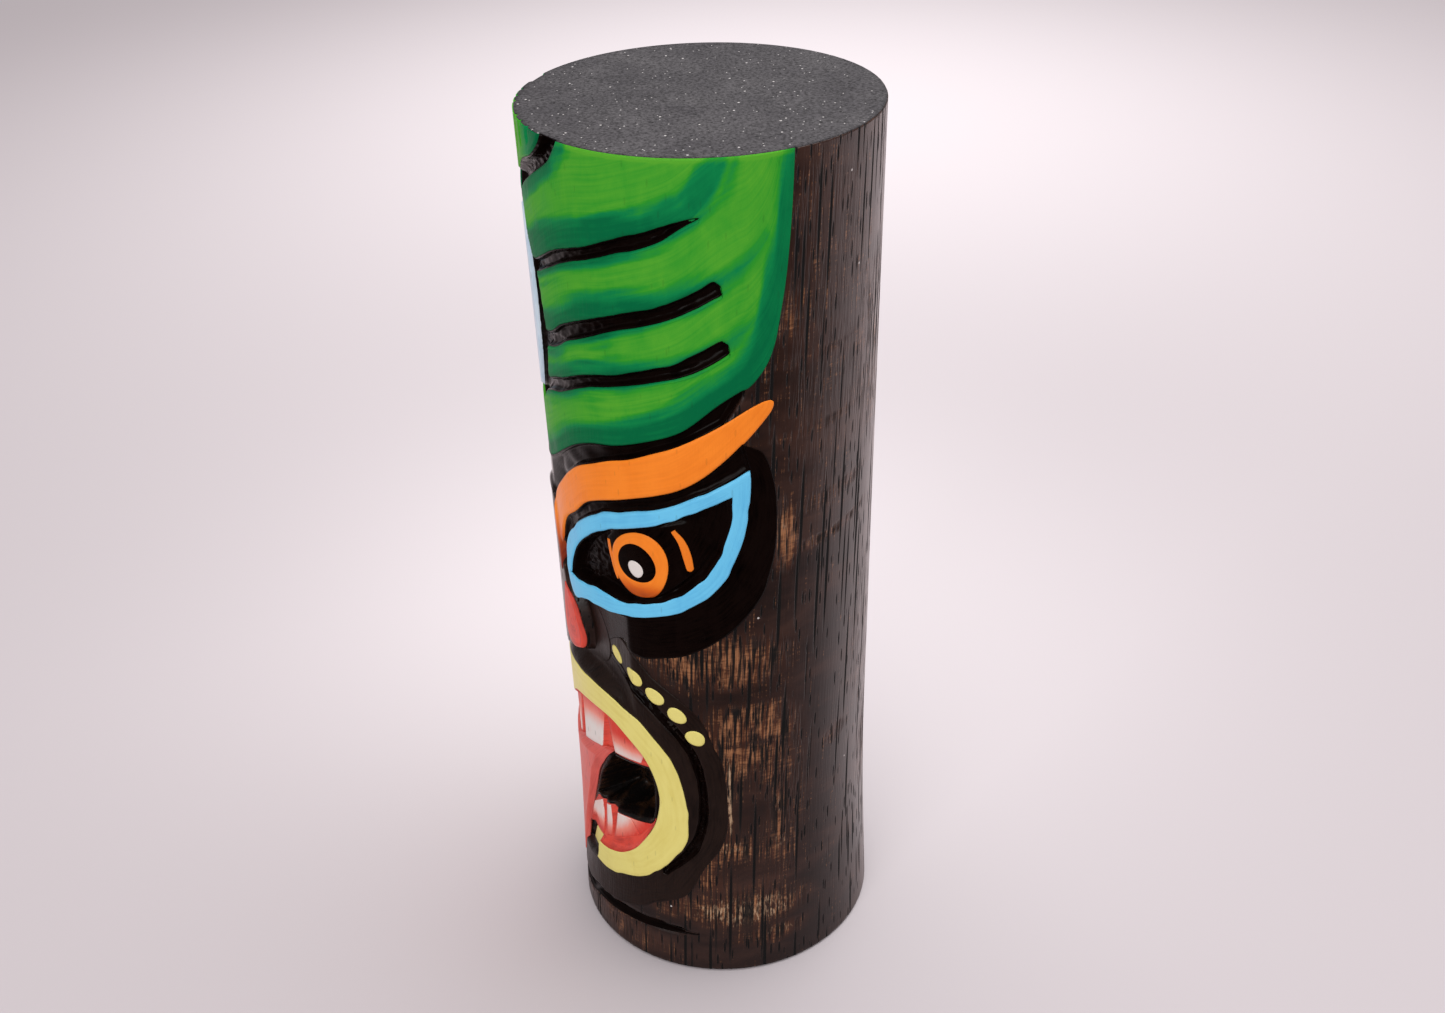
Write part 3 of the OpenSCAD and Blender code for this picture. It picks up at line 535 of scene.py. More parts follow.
# Pale scratch lines; at the cut edge beside the mouth's black band the pale line is a painted highlight.
hatch = add(wood, "ShaderNodeMath", {0: hairlines, 1: 2.2, 2: scratch_and_highlight_share}, operation="MULTIPLY_ADD")
scratch = add(wood, "ShaderNodeMapRange", {VALUE: hatch, FROM_LOW: 1.68, FROM_HIGH: 2.1})
scratched_and_highlit = add(wood, "ShaderNodeMix", {MIX_SHARE: scratch, MIX_FROM: brown, MIX_TO: linear("#b39374")},
                data_type="RGBA")
dark_range = {VALUE: dark_lines, FROM_LOW: 0.51, FROM_HIGH: 0.43, TO_HIGH: 0.95}
dark_grain = add(wood, "ShaderNodeMapRange", dark_range)
thinned = add(wood, "ShaderNodeMapRange", {VALUE: bare, FROM_LOW: 0.08, FROM_HIGH: 0.5})
held_stain = add(wood, "ShaderNodeMath", {0: dark_grain, 1: thinned}, operation="MULTIPLY")
long_pores = pores(wood, across=1.05, lengthwise=44, width=0.56, offset=4.0)
short_pores = pores(wood, across=0.8, lengthwise=6.5, width=0.32, offset=15.0)
dark_pores = add(wood, "ShaderNodeMath", {0: long_pores, 1: held_stain}, operation="MAXIMUM")
open_pores = add(wood, "ShaderNodeMath", {0: dark_pores, 1: short_pores}, operation="MAXIMUM")
grained = add(wood, "ShaderNodeMix", {MIX_SHARE: open_pores, MIX_FROM: scratched_and_highlit, MIX_TO: linear("#060404")},
              data_type="RGBA")
specks = pores(wood, across=9, lengthwise=9, width=0.36, offset=8.0)
dusty_wood = add(wood, "ShaderNodeMix", {MIX_SHARE: specks, MIX_FROM: grained, MIX_TO: linear("#c9c2be")},
                 data_type="RGBA")
pitted_wood = add(wood, "ShaderNodeBump", {"Strength": 0.8, "Distance": 0.2 * MM, "Height": open_pores},
                  invert=True)
ribbed_wood = add(wood, "ShaderNodeBump", {"Strength": 0.35, "Distance": 0.1 * MM, "Height": fibres,
                                           "Normal": pitted_wood})
waxed = add(wood, "ShaderNodeMapRange", {VALUE: open_pores, TO_LOW: 0.3, TO_HIGH: 1.0})
wood_surface = add(wood, "ShaderNodeBsdfPrincipled", {"Base Color": dusty_wood, "Roughness": waxed,
                                                      "Specular IOR Level": 0.42, "Normal": ribbed_wood})
add(wood, "ShaderNodeOutputMaterial", {"Surface": wood_surface})
# Middle, half sizes and strength of each place where the stain is rubbed thin, is scorched dark again,
# and has pale scratches; the thin one at 85.2 degrees is the cut edge of the mouth's black band, pale wood
# brightened as a painted highlight.
RUBBED = [(82, 67, 24, 5.5, 0.68), (93, 52, 17, 7, 0.75), (86, 38, 3, 10, 0.5), (104, 37, 4, 12, 0.6),
          (91, 28, 17, 2.4, 0.55), (78, 23, 7, 5, 0.5), (95, 40, 18, 22, 0.42), (90, 14, 23, 4, 0.5),
          (62, 13.6, 12, 2.6, 0.45), (100, 7.5, 14, 2, 0.4), (107, 89, 4, 6, 0.7), (122, 106, 24, 1, 0.35),
          (124, 93, 24, 1.5, 0.3), (124, 86, 24, 0.9, 0.4), (118, 118, 18, 1, 0.3), (108, 127, 5, 5, 0.4),
          (124, 124, 22, 32, 0.15), (131, 45, 6, 1.8, 0.4), (30, 3, 28, 3.4, 0.25), (150, 60, 12, 20, 0.15),
          (172, 34, 22, 12, 0.35), (158, 112, 24, 18, 0.25)]
SCORCHED = [(92, 60, 20, 1.7, 0.8), (93, 36, 8, 6, 0.9), (91, 22.4, 12, 2.6, 0.8), (96, 50.2, 14, 0.8, 0.5),
            (92, 73, 8, 2, 0.4)]
# The thin entry at 85.2 degrees, strength 1.4, is a painted highlight along the pale cut edge of the mouth's
# black band.
SCRATCHES_AND_EDGE_HIGHLIGHT = [(90, 13.8, 20, 3.4, 0.66), (86, 28, 9, 1.8, 0.5), (104, 28, 3, 2.2, 0.5),
             (103.6, 40, 1.8, 10, 0.45), (85.2, 39, 0.7, 8, 1.4), (106, 91, 2.4, 4, 0.45),
             (102, 8, 10, 1.5, 0.4), (92, 55, 13, 3, 0.3), (97, 46, 11, 2.5, 0.3), (86, 67, 14, 3, 0.2),
             (170, 30, 14, 3, 0.3)]
UNLIKE_SIDES = 4  # mm that patches lie lower or higher than given, from one side to the other
CAP_STRENGTH = [0.3, 0.3]  # at the middle of each sawn end


def patches(spots):
    """Strength of soft oval patches round the log: the strongest at each place, easing out past its edge.

    They lie on both sides, those on the right higher by twice UNLIKE_SIDES, so that the sides differ.
    """
    turn = (grid_angle + 180) % 360 - 180
    level = grid_height - UNLIKE_SIDES * (1 - np.sin(np.radians(turn)))
    cover = np.zeros_like(grid_angle)
    for angle, height, half_angle, half_height, strength in spots:
        distance = np.hypot((np.abs(turn) - angle) / half_angle, (level - height) / half_height)
        cover = np.maximum(cover, strength * smooth(1.5 - distance))
    cloudy = 1 + 0.35 * ripple(grid_angle * 0.2, grid_height * 0.5, 61)
    return np.append(np.clip(cover * cloudy, 0, 1).ravel(), CAP_STRENGTH)


log = skin("log", np.vstack([log_points, caps]), log_faces, wood,
           fields={"worn": patches(RUBBED) * (1 - patches(SCORCHED)), "scratched_and_highlit": patches(SCRATCHES_AND_EDGE_HIGHLIGHT)})
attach(log, "root")
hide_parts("log")


# Black ground paint of the face: acrylic brushed into every cut before the colours, so that the grooves,
# the eye sockets and the broad line round the mouth read as black. It is the lowest coat after the green.
COAT_SINK = 0.12  # mm that a coat's underside lies in the wood
GREEN_LIFT, BLACK_LIFT, COLOUR_LIFT = 0.06, 0.11, 0.19
COVERED_DROP = 0.55  # mm that a coat drops under the coats above it
BEVEL_WIDTH = 0.35


def film(edge0, edge1, rows, lift, closed=False, covered=(), bevel=0.0):
    """A coat ruled between two edges: straight in angle and height across, with a back and walls.

    Under the outlines in covered it drops out of the way of the coats above.
    Returns points, faces, flat map and places.
    """
    columns = len(edge0)
    count = rows * columns
    share = np.linspace(0, 1, rows)[:, None]
    angle = edge0[:, 0] * (1 - share) + edge1[:, 0] * share
    height = edge0[:, 1] * (1 - share) + edge1[:, 1] * share
    base = surface(angle, height)
    rise = np.full(angle.shape, lift)
    for outline in covered:
        rise -= COVERED_DROP * smooth(inside(angle, height, outline) / 0.4)
    width = np.hypot((edge1 - edge0)[:, 0] * ARC, (edge1 - edge0)[:, 1])
    rise -= bevel * (1 - smooth(np.minimum(share, 1 - share) * width / BEVEL_WIDTH))
    top = place(angle, height, base + rise).reshape(-1, 3)
    under = place(angle, height, base + np.minimum(rise, lift) - lift - COAT_SINK).reshape(-1, 3)
    grid = quads(rows, columns)
    index = np.arange(count).reshape(rows, columns)
    sides = [np.concatenate([index[0], index[1:, -1], index[-1, -2::-1], index[-2::-1, 0]])]
    if closed:
        sides = [index[0], index[-1][::-1]]
    walls = np.vstack([np.stack([s[:-1], s[:-1] + count, s[1:] + count, s[1:]], 1) for s in sides])
    faces = np.vstack([grid, grid[:, ::-1] + count, walls])
    run, across = np.diff(edge0 + edge1, axis=0), (edge1 - edge0)[1:] + (edge1 - edge0)[:-1]
    if (run[:, 0] * across[:, 1] - run[:, 1] * across[:, 0]).sum() < 0:
        faces = faces[:, ::-1]
    length = np.concatenate([[0], np.cumsum(np.hypot(*(run / 2 * [ARC, 1]).T))])
    flat = np.stack([np.broadcast_to(length, angle.shape), share * width], -1).reshape(-1, 2) / 100
    places = np.stack([angle, height], -1).reshape(-1, 2)
    return np.vstack([top, under]), faces, np.vstack([flat, flat]), places


def coat(name, films, material, field=None):
    """One coat of paint as an object: its films joined, welded where edges meet, and handed over.

    The weld leaves a wall inside the coat where two films meet end to end, and a bare edge at the middle of
    a filled shape, so both are taken out.
    """
    start, points, faces, flats, places = 0, [], [], [], []
    for film_points, film_faces, flat, spots in films:
        points.append(film_points)
        faces.append(film_faces + start)
        flats.append(flat)
        places.append(np.vstack([spots, spots]))
        start += len(film_points)
    spots = np.vstack(places)
    fields = {key: rule(spots[:, 0], spots[:, 1]) for key, rule in (field or {}).items()}
    made = skin(name, np.vstack(points), np.vstack(faces).tolist(), material, np.vstack(flats), fields)
    weld = bmesh.new()
    weld.from_mesh(made.data)
    bmesh.ops.remove_doubles(weld, verts=weld.verts, dist=2e-7)
    inner = [face for face in weld.faces if sum(len(edge.link_faces) > 2 for edge in face.edges) > 1]
    bmesh.ops.delete(weld, geom=inner, context="FACES_ONLY")
    bmesh.ops.delete(weld, geom=[edge for edge in weld.edges if edge.is_wire], context="EDGES")
    weld.to_mesh(made.data)
    weld.free()
    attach(made, "root")
    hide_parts(name)


def loop(half):
    """Closed line round a shape that is alike on both sides: down its left half and up its right half."""
    return np.vstack([half, (half * [-1, 1])[::-1][1:]])


def other(line):
    """The same line on the figure's right."""
    return line * [-1, 1]


SIDES = {"left": np.array, "right": other}


def both(name, pairs, rows, lift, material, slot, field=None, **how):
    """The same coat on each side of the face: a film between each pair of edges, turned to that side."""
    for side, turned in SIDES.items():
        films = [film(turned(edge0), turned(edge1), rows, lift, **how) for edge0, edge1 in pairs]
        coat(f"{name}_{side}", films, material, field)


def acrylic(name, shades, roughness=0.42, field=None, stroke_mm=(9, 0.5), fibre=0.35, specks=0.3, gloss=0.3,
            jitter=0.6):
    """Brushed acrylic: streaks along the coat from deep shade to light, with the wood's pores and grain.

    Bristles leave marks about 0.1 mm wide; stroke_mm, length and width, is drawn coarser so that they show.
    """
    paint = empty_material(name)
    flat = add(paint, "ShaderNodeUVMap", uv_map="paint")
    per_dm = (100 / stroke_mm[0], 100 / stroke_mm[1], 1)
    laid = add(paint, "ShaderNodeMapping", {"Vector": flat, "Scale": per_dm})
    brush = add(paint, "ShaderNodeTexNoise", {"Vector": laid, "Scale": 1.0, "Detail": 3.0}).outputs["Fac"]
    blotch = grain(paint, across=3.5, lengthwise=6, detail=3, roughness=0.6, distortion=0.3, offset=5.0)
    mixed = add(paint, "ShaderNodeMath", {0: brush, 1: blotch}, operation="ADD")
    if field:
        value = add(paint, "ShaderNodeAttribute", attribute_name=field).outputs["Fac"]
        wander = add(paint, "ShaderNodeMath", {0: mixed, 1: 1.0}, operation="SUBTRACT")
        share = add(paint, "ShaderNodeMath", {0: wander, 1: jitter, 2: value}, operation="MULTIPLY_ADD",
                    use_clamp=True)
    else:
        share = add(paint, "ShaderNodeMapRange", {VALUE: mixed, FROM_LOW: 0.6, FROM_HIGH: 1.1})
    steps = np.linspace(0, 1, len(shades))
    stops = [(at, linear(code)) for at, code in zip(steps, shades)]
    body = add(paint, "ShaderNodeValToRGB", {"Fac": share}, stops)
    wood_pores = pores(paint, across=1.2, lengthwise=5, width=0.3, offset=2.0)
    dull = add(paint, "ShaderNodeMath", {0: wood_pores, 1: specks}, operation="MULTIPLY")
    tint = add(paint, "ShaderNodeMix", {MIX_SHARE: dull, MIX_FROM: body, MIX_TO: linear("#1a1210")},
               data_type="RGBA")
    ridges = add(paint, "ShaderNodeBump", {"Strength": 0.5, "Distance": 0.06 * MM, "Height": brush})
    under_grain = grain(paint, across=0.45, lengthwise=5, detail=3, roughness=0.6)
    ribbed = add(paint, "ShaderNodeBump", {"Strength": fibre, "Distance": 0.16 * MM, "Height": under_grain,
                                           "Normal": ridges})
    sheen = add(paint, "ShaderNodeMapRange", {VALUE: blotch, FROM_LOW: 0.3, FROM_HIGH: 0.7,
                                              TO_LOW: roughness - 0.08, TO_HIGH: roughness + 0.1})
    finish = add(paint, "ShaderNodeBsdfPrincipled", {"Base Color": tint, "Roughness": sheen,
                                                     "Specular IOR Level": gloss, "Normal": ribbed})
    add(paint, "ShaderNodeOutputMaterial", {"Surface": finish})
    return paint


# Thick black acrylic brushed into the cuts: smooth and near black, so that every groove swallows the light.
black_paint = acrylic("black_acrylic_brushed_into_cuts", ["#030101", "#100705"], 0.22, stroke_mm=(4, 0.4),
                      fibre=0.12, specks=0.15, gloss=0.06)
# The same black thinned over the stain: a shade browner, with the grain showing through it.
thin_black = acrylic("black_acrylic_thinned_over_stain", ["#0f0705", "#22140e"], 0.38, stroke_mm=(4, 0.4),
                     fibre=0.6, specks=0.3, gloss=0.22)
# Black in the pockets, where the brush didn't reach all: dark, with a glint of bare brown wood at the back.
pocket_black = acrylic("black_acrylic_missing_deep_in_pocket", ["#6b4529", "#0b0706"], 0.3, "painted",
                       (2, 0.6), fibre=0.8, gloss=0.28)


def pocket_cover(angle, height):
    """Share of black in a pocket: 1 less an oval spot at the low outer corner, where bare wood shows."""
    missed = np.hypot((np.abs(angle) - 47) / 5, (height - 32.4) / 1.6)
    return 1 - 0.8 * smooth(1.3 - missed)


surround_loop, panel_loop = along(loop(surround_edge), 220), along(loop(panel_edge), 220)
band_loop, lip_loop = along(loop(band_outer), 420), along(loop(lip_outer), 420)
crown_groove_edges = (along(mirrored(leaf_top), 140), along(mirrored(centre_leaf_edge), 140))
headband_edges = [along(edge, 320) for edge in across_front(headband_groove)]
chin_edges = [along(edge, 200) for edge in across_front(chin_groove)]
hollow_edges = (
    along(curve([(14.6, 72), (18.6, 68.8), (20.9, 66), (22.4, 63), (21.2, 60.3), (16.4, 59)]), 60),
    along(curve([(22, 71.5), (31, 68.5), (35, 64.5), (32, 60.5), (20, 58.8)]), 60))
eye_field_edges = (along(eye_bottom, 150), along(eye_ground, 150))
socket_edges = (along(socket_bottom[::-1], 150), along(socket_top, 150))
pocket_edges = (along(pocket_floor, 90), along(pocket_top, 90))
surround_films = [film(surround_loop, panel_loop, 14, BLACK_LIFT, True)]
mouth_films = [film(band_loop, lip_loop, 26, BLACK_LIFT - 0.03, True, [tongue_loop])]
coat("crown_groove_coat", [film(*crown_groove_edges, 16, BLACK_LIFT)], black_paint)
coat("panel_surround_coat", surround_films, black_paint)
coat("headband_groove_coat", [film(*headband_edges, 14, BLACK_LIFT)], black_paint)
coat("mouth_surround_coat", mouth_films, thin_black)
coat("chin_groove_coat", [film(*chin_edges, 9, BLACK_LIFT)], black_paint)
both("leaf_groove_coat", finger_grooves, 12, BLACK_LIFT, black_paint, "black_paint")
both("brow_groove_coat", [brow_groove], 12, BLACK_LIFT, black_paint, "black_paint")
both("eye_surround_coat", [eye_field_edges], 24, BLACK_LIFT, black_paint, "black_paint")
both("eye_socket_coat", [socket_edges], 56, BLACK_LIFT, black_paint, "black_paint")
both("nose_hollow_coat", [hollow_edges], 20, BLACK_LIFT + 0.03, thin_black, "black_paint")
both("lip_line_coat", [lip_line], 8, BLACK_LIFT + 0.04, black_paint, "black_paint")
both("mouth_pocket_coat", [pocket_edges], 60, BLACK_LIFT, pocket_black, "black_paint",
     {"painted": pocket_cover})


# Green leaves of the headdress: one coat of acrylic over the lands between the grooves, dark green first
# and then a stripe of light yellow-green brushed wet along the middle of each finger.
def spread(points, above, below, fade=1.0, count=80):
    """A dark stroke: its line at even steps, the mm it reaches above and below, and its strength."""
    share = np.linspace(0, 1, count)
    reaches = [np.interp(share, np.linspace(0, 1, len(side)), side) for side in (above, below)]
    return (along(curve(points), count) * [ARC, 1], *reaches, np.interp(share, [0.6, 1], [1, fade]))


# One dark stroke along each groove and on past its end, one along the leaf's lower edge and one at its top.
DARK_STROKES = [
    spread([(4, 127.6), *FINGERS[0][1:-1], (81, 142.4), (86, 146), (90, 151)],
           [6, 5.8, 5.2, 4.8, 4.2, 3.2, 2.4], [2.2, 2.0, 1.8, 1.6, 1.0, 1.4], 0.65),
    spread([(8, 116.4), *FINGERS[1][1:-1], (87, 131.8), (95, 134.6), (101, 138)],
           [4.0, 4.6, 4.8, 4.4, 3.2, 1.8, 0.6], [2.7, 2.4, 2.2, 1.8, 1.0, 0.2], 0.35),
    spread([(6, 107.8), *FINGERS[2][1:-1], (89, 122.6), (95, 125), (99, 127.5)],
           [3.2, 3.2, 3.2, 3.0, 2.4, 1.4, 0.6], [2.2, 2.0, 1.8, 1.6, 1.0, 0.3], 0.35),
    spread([(0, 94), (15, 97), (31, 102), (50, 104.8), (70, 108), (85, 113), (95, 115.6), (101, 119),
            (105.2, 126), (108.2, 136), (110, LOG_HEIGHT)],
           [3, 3.2, 3.6, 4, 4.2, 3.6, 2.8, 2.2], [3, 3.2, 3.6, 4, 4.2, 3.6, 2.8, 2.2], 0.78),
    spread([(0, 136.8), (6, 139.6), (15.5, 142.3), (24, 144.6), (30, 146.5), (35.5, LOG_HEIGHT)],
           [2, 2], [2.4, 1.8])]
FEATHER = 3.2  # mm over which dark green eases into light


def leaf_light_green_and_rim_highlight(angle, height):
    """Share of light green: most on the open leaf, easing raggedly to 0 by the dark strokes; a painted
    highlight at the top rim.
    """
    spot = np.stack([np.abs(angle) * ARC, height], 1)
    dark = np.zeros(len(spot))
    for number, (line, above, below, strength) in enumerate(DARK_STROKES):
        run = np.gradient(line, axis=0)
        for some in np.array_split(np.arange(len(spot)), 20):
            gap = ((spot[some][:, None] - line) ** 2).sum(2)
            nearest, away = gap.argmin(1), np.sqrt(gap.min(1))
            off, ahead = spot[some] - line[nearest], run[nearest]
            over = ahead[:, 0] * off[:, 1] - ahead[:, 1] * off[:, 0] > 0
            reach = np.where(over, above[nearest], below[nearest])
            streak = 0.9 * ripple(nearest * 0.1 + 9 * number, away * 1.3, 71)
            shade = strength[nearest] * smooth((reach + streak - away) / FEATHER + 0.45)
            dark[some] = np.maximum(dark[some], shade)
    # Painted highlight: the green is lightened in the last 0.9 mm below the sawn top, where the rim's edge
    # catches the light.
    return 0.85 * (1 - dark) + 0.3 * smooth((height - LOG_HEIGHT + 0.9) / 0.6)


def centre_light(angle, height):
    """Share of light green on the centre leaf: all at its middle, easing to none at its sides."""
    return smooth(1.3 - np.abs(angle) / 20)


def between(columns, low, high):
    """Two edges over the same angles: the heights of a lower and an upper line, alike on both sides."""
    return [np.stack([columns, np.interp(np.abs(columns), *line.T)], 1) for line in (low, high)]


# Two greens brushed wet into each other: flat, strong colour that runs from bluish to yellowish in streaks.
green_shades = ["#006a3e", "#0a8448", "#2d982b", "#57ab2f"]
green_paint = acrylic("green_acrylic_two_shades_brushed", green_shades, 0.5, "light", (14, 0.55),
                      specks=0.12, gloss=0.05, jitter=0.4)
leaf_columns = np.concatenate([np.linspace(0, 101, 136)[:-1], np.linspace(101, 109.9, 26)])
leaf_columns = np.concatenate([-leaf_columns[:0:-1], leaf_columns])
leaf_edges = between(leaf_columns, band_edge, np.vstack([leaf_top, [[120, LOG_HEIGHT]]]))
hidden = [ring_of(edges) for edges in finger_grooves]
hidden += [other(line) for line in hidden] + [loop(surround_edge)]
LIP_WIDTH = 0.45  # mm of green that the brush dragged over a groove's lower edge
leaf_films = [film(*leaf_edges, 110, GREEN_LIFT, covered=hidden)]
leaf_films += [film(turned(low - [0, LIP_WIDTH]), turned(low), 4, GREEN_LIFT + 0.02)
               for low, _ in finger_grooves for turned in SIDES.values()]
rim_line = np.array([[0, LOG_HEIGHT], [30, LOG_HEIGHT]])
centre_edges = between(np.linspace(-26.8, 26.8, 90), centre_leaf_edge, rim_line)
centre_films = [film(*centre_edges, 26, GREEN_LIFT)]
coat("headdress_coat", leaf_films, green_paint, {"light": leaf_light_green_and_rim_highlight})
coat("centre_leaf_coat", centre_films, green_paint, {"light": centre_light})


# Forehead panel: a pale blue oval of acrylic in the middle of the headdress.
# It was brushed thinly over the black ground, up to the edge of its carved field.
def filled(line, middle=None):
    """The two edges of a filled shape: its closed outline, and its middle as a line of the same length."""
    return line, np.broadcast_to(line[:-1].mean(0) if middle is None else middle, line.shape)


# A chalky, even pale blue, a little greyer where the brush ran thin.
pale_blue = acrylic("pale_blue_acrylic_brushed", ["#a9c6dd", "#d7e6f2"], 0.45, stroke_mm=(6, 0.6))
panel_films = [film(*filled(panel_loop, [0.0, 121.0]), 26, COLOUR_LIFT, True)]
coat("forehead_panel_coat", panel_films, pale_blue)


# Brows, irises and eye streaks: opaque orange acrylic, laid on thickly with a small round brush and left
# with its ridges. At the nose the brow's stroke runs dry into dark red.
IRIS = (55.3, 84.0, 11.5, 6.0)  # middle, then half sizes in degrees and mm
IRIS_HOLE = (54.4, 84.3, 7.3, 3.6)
SOFT_EDGE = 0.05  # mm that the edge of a thick coat is rounded by


def oval(angle, height, half_angle, half_height, tilt=0.0, wobble=0.04, seed=31, count=72):
    """A hand-painted oval: an ellipse whose radius trembles, turned by tilt."""
    turn = np.linspace(0, 2 * np.pi, count)
    size = 1 + wobble * (np.sin(2 * turn + seed) + 0.7 * np.sin(3 * turn + 2 * seed))
    x, y = half_angle * ARC * size * np.cos(turn), half_height * size * np.sin(turn)
    x, y = x * math.cos(tilt) - y * math.sin(tilt), x * math.sin(tilt) + y * math.cos(tilt)
    return np.stack([angle + x / ARC, height + y], 1)


def brow_body(angle, height):
    """Body of the brow's orange: almost none at its foot beside the nose, full from 8 mm up."""
    return 0.05 + 0.9 * smooth((height - 77.5) / 8)


def iris_body(angle, height):
    """Body of the iris's orange: thinner along its lower edge."""
    return 0.3 + 0.65 * smooth((height - 78.6) / 3)


def streak_body(angle, height):
    """Body of a streak's orange: nearly full all over."""
    return np.full_like(angle, 0.85)


# Thick orange: bright and opaque, with fine ridges that catch the light, and dark red where it ran dry.
orange = acrylic("orange_acrylic_thick_brush", ["#7a2216", "#de6510", "#ff8c24"], 0.4, "body", (8, 0.5),
                 specks=0.12, gloss=0.2, jitter=0.3)
brow_edges = (along(brow_bottom[::-1], 190), along(brow_top, 190))
iris_edges = (oval(*IRIS), oval(*IRIS_HOLE, seed=33))
streaks = [
    stroke([(42.4, 86.9), (43, 84.4), (44, 82), (45.4, 79.9)], [0.5, 0.8, 0.8, 0.5], 24, 41),
    stroke([(68.6, 91.2), (71.3, 89.3), (73, 87), (74.2, 84)], [0.7, 1.1, 1.3, 1.2], 30, 43, 0.08)]
both("brow_coat", [brow_edges], 20, COLOUR_LIFT, orange, "orange_paint", {"body": brow_body},
     bevel=SOFT_EDGE)
both("iris_coat", [iris_edges], 12, COLOUR_LIFT, orange, "orange_paint", {"body": iris_body}, closed=True,
     bevel=SOFT_EDGE)
both("eye_streak_coat", streaks, 7, COLOUR_LIFT, orange, "orange_paint", {"body": streak_body})


# Eye outlines: a ring of sky-blue acrylic on the land round each socket.
# It is one brush stroke wide, and it stops at the knife-cut edge on both sides.
eye_loop = np.vstack([along(eye_top, 110), along(eye_bottom, 130)[1:]])
socket_loop = np.vstack([along(socket_top, 110), along(socket_bottom, 130)[1:]])
# A clean, opaque light blue with a soft satin sheen.
sky_blue = acrylic("sky_blue_acrylic_brushed", ["#5dbbea", "#6dcbf4"], stroke_mm=(9, 0.45), specks=0.15)
both("eye_outline_coat", [(eye_loop, socket_loop)], 12, COLOUR_LIFT, sky_blue, "sky_blue_paint", closed=True,
     bevel=SOFT_EDGE)


# Pupils and teeth: white acrylic, the pupil a single dab and each tooth a short stroke that thins to
# the red gum at its root.
UPPER_TEETH = [[(1, 46.2), (1.2, 42), (1.3, 37.6)], [(10.4, 48.4), (7, 43.5), (4.2, 38)],
               [(12, 49.2), (11, 44), (9.8, 38.9)], [(31, 50.8), (28.6, 46), (26.7, 41.4)],
               [(32.2, 50.9), (33.6, 46.5), (35, 42.6)], [(50.8, 46.6), (50.6, 45), (49.2, 43.2)]]
LOWER_TEETH = [[(12, 19.8), (12.5, 23), (15, 25.8)], [(22.5, 20.4), (22.8, 25), (22.3, 28.4)],
               [(25, 21), (25.8, 25), (26.2, 28.6)], [(29, 22), (29.4, 25), (28.9, 29)],
               [(31, 22.4), (32.6, 25.5), (33.9, 28.7)], [(46, 26.6), (44, 28), (42, 29.4)],
               [(46.1, 26.7), (44.1, 28.1), (42.1, 29.4)], [(52, 29.8), (52.3, 30), (51.5, 30.2)]]
LAST_TOOTH = 31.8  # angle from which the upper teeth are white only at their lower edge
MOUTH_REACH = 9.0  # mm within the lip that whiteness is measured to


def tooth_edges(lines):
    """Pairs of edges to rule teeth between: the two side lines of each, root to tip."""
    edges = [along(curve(line), 24) for line in lines]
    return list(zip(edges[::2], edges[1::2]))


def from_lip(angle, height):
    """Distance in mm from the lip's inner edge into the mouth."""
    return inside(np.abs(angle), height, mirrored(mouth_edge), MOUTH_REACH)


def upper_tip(angle, height):
    """Whiteness of an upper tooth: grows away from the lip, on the last tooth towards its lower edge."""
    low_edge = 0.9 * smooth((47.6 - height) / 4.6)
    return np.where(np.abs(angle) > LAST_TOOTH, low_edge, smooth((from_lip(angle, height) - 0.2) / 6.5))


def lower_tip(angle, height):
    """Whiteness of a lower tooth: none along the lip, then growing to its tip."""
    return 0.92 * smooth((from_lip(angle, height) - 1.4) / 4.5)


def all_white(angle, height):
    """Whiteness of a pupil: full everywhere."""
    return np.ones_like(angle)


# White dabbed over wet red: warm white where it is thick, pink and then red where it thins.
white = acrylic("white_acrylic_dabbed", ["#d93a2b", "#ee8d7b", "#e6dfd9"], 0.45, "tip", (3, 0.8), jitter=0.2)
upper_films = [film(turned(low), turned(high), 20, COLOUR_LIFT, bevel=0.06)
               for turned in SIDES.values() for low, high in tooth_edges(UPPER_TEETH)]
pupil = oval(54.2, 83.3, 2.9, 1.5, 0.2, seed=35, count=40)
coat("teeth_coat_upper", upper_films, white, {"tip": upper_tip})
both("teeth_coat_lower", tooth_edges(LOWER_TEETH), 20, COLOUR_LIFT, white, "white_paint", {"tip": lower_tip},
     bevel=0.06)
both("pupil_dot_coat", [filled(pupil)], 7, COLOUR_LIFT, white, "white_paint", {"tip": all_white},
     closed=True, bevel=SOFT_EDGE)


# Nose wings and gums: brick-red acrylic on the flared wings of the nose and behind the teeth.
# It was brushed thin, over the stain on the wings and over the black ground in the mouth.
GUM_LIFT = BLACK_LIFT + 0.02
# Thin red: uneven, so that the dark wood dulls it in places.
red = acrylic("red_acrylic_thin_brush", ["#b0322a", "#e4503f"], 0.45, stroke_mm=(5, 0.5))
wing_loop = along(wing_edge, 90)
gum_top = mouth_edge[mouth_edge[:, 1] > 43.4][:9 * STRETCH]
gum_foot = np.vstack([tongue_root, [[41, 42.6], [49.5, 42.8], [55, 43]]])
upper_gum = (along(mirrored(gum_foot), 200), along(mirrored(gum_top), 200))
gum_lip = curve([(9, 19.2), (20, 19.3), (30, 20), (38, 21.5), (45, 24), (50, 27), (54.9, 31)])
gum_ledge = np.vstack([[[9, 20]], pocket_floor[:8 * STRETCH + 4]])
lower_gum = (along(gum_lip, 100), along(gum_ledge, 100))
coat("gum_coat_upper", [film(*upper_gum, 18, GUM_LIFT)], red)
both("nose_wing_coat", [filled(wing_loop, [14.0, 65.5])], 22, COLOUR_LIFT, red, "red_paint", closed=True,
     bevel=SOFT_EDGE)
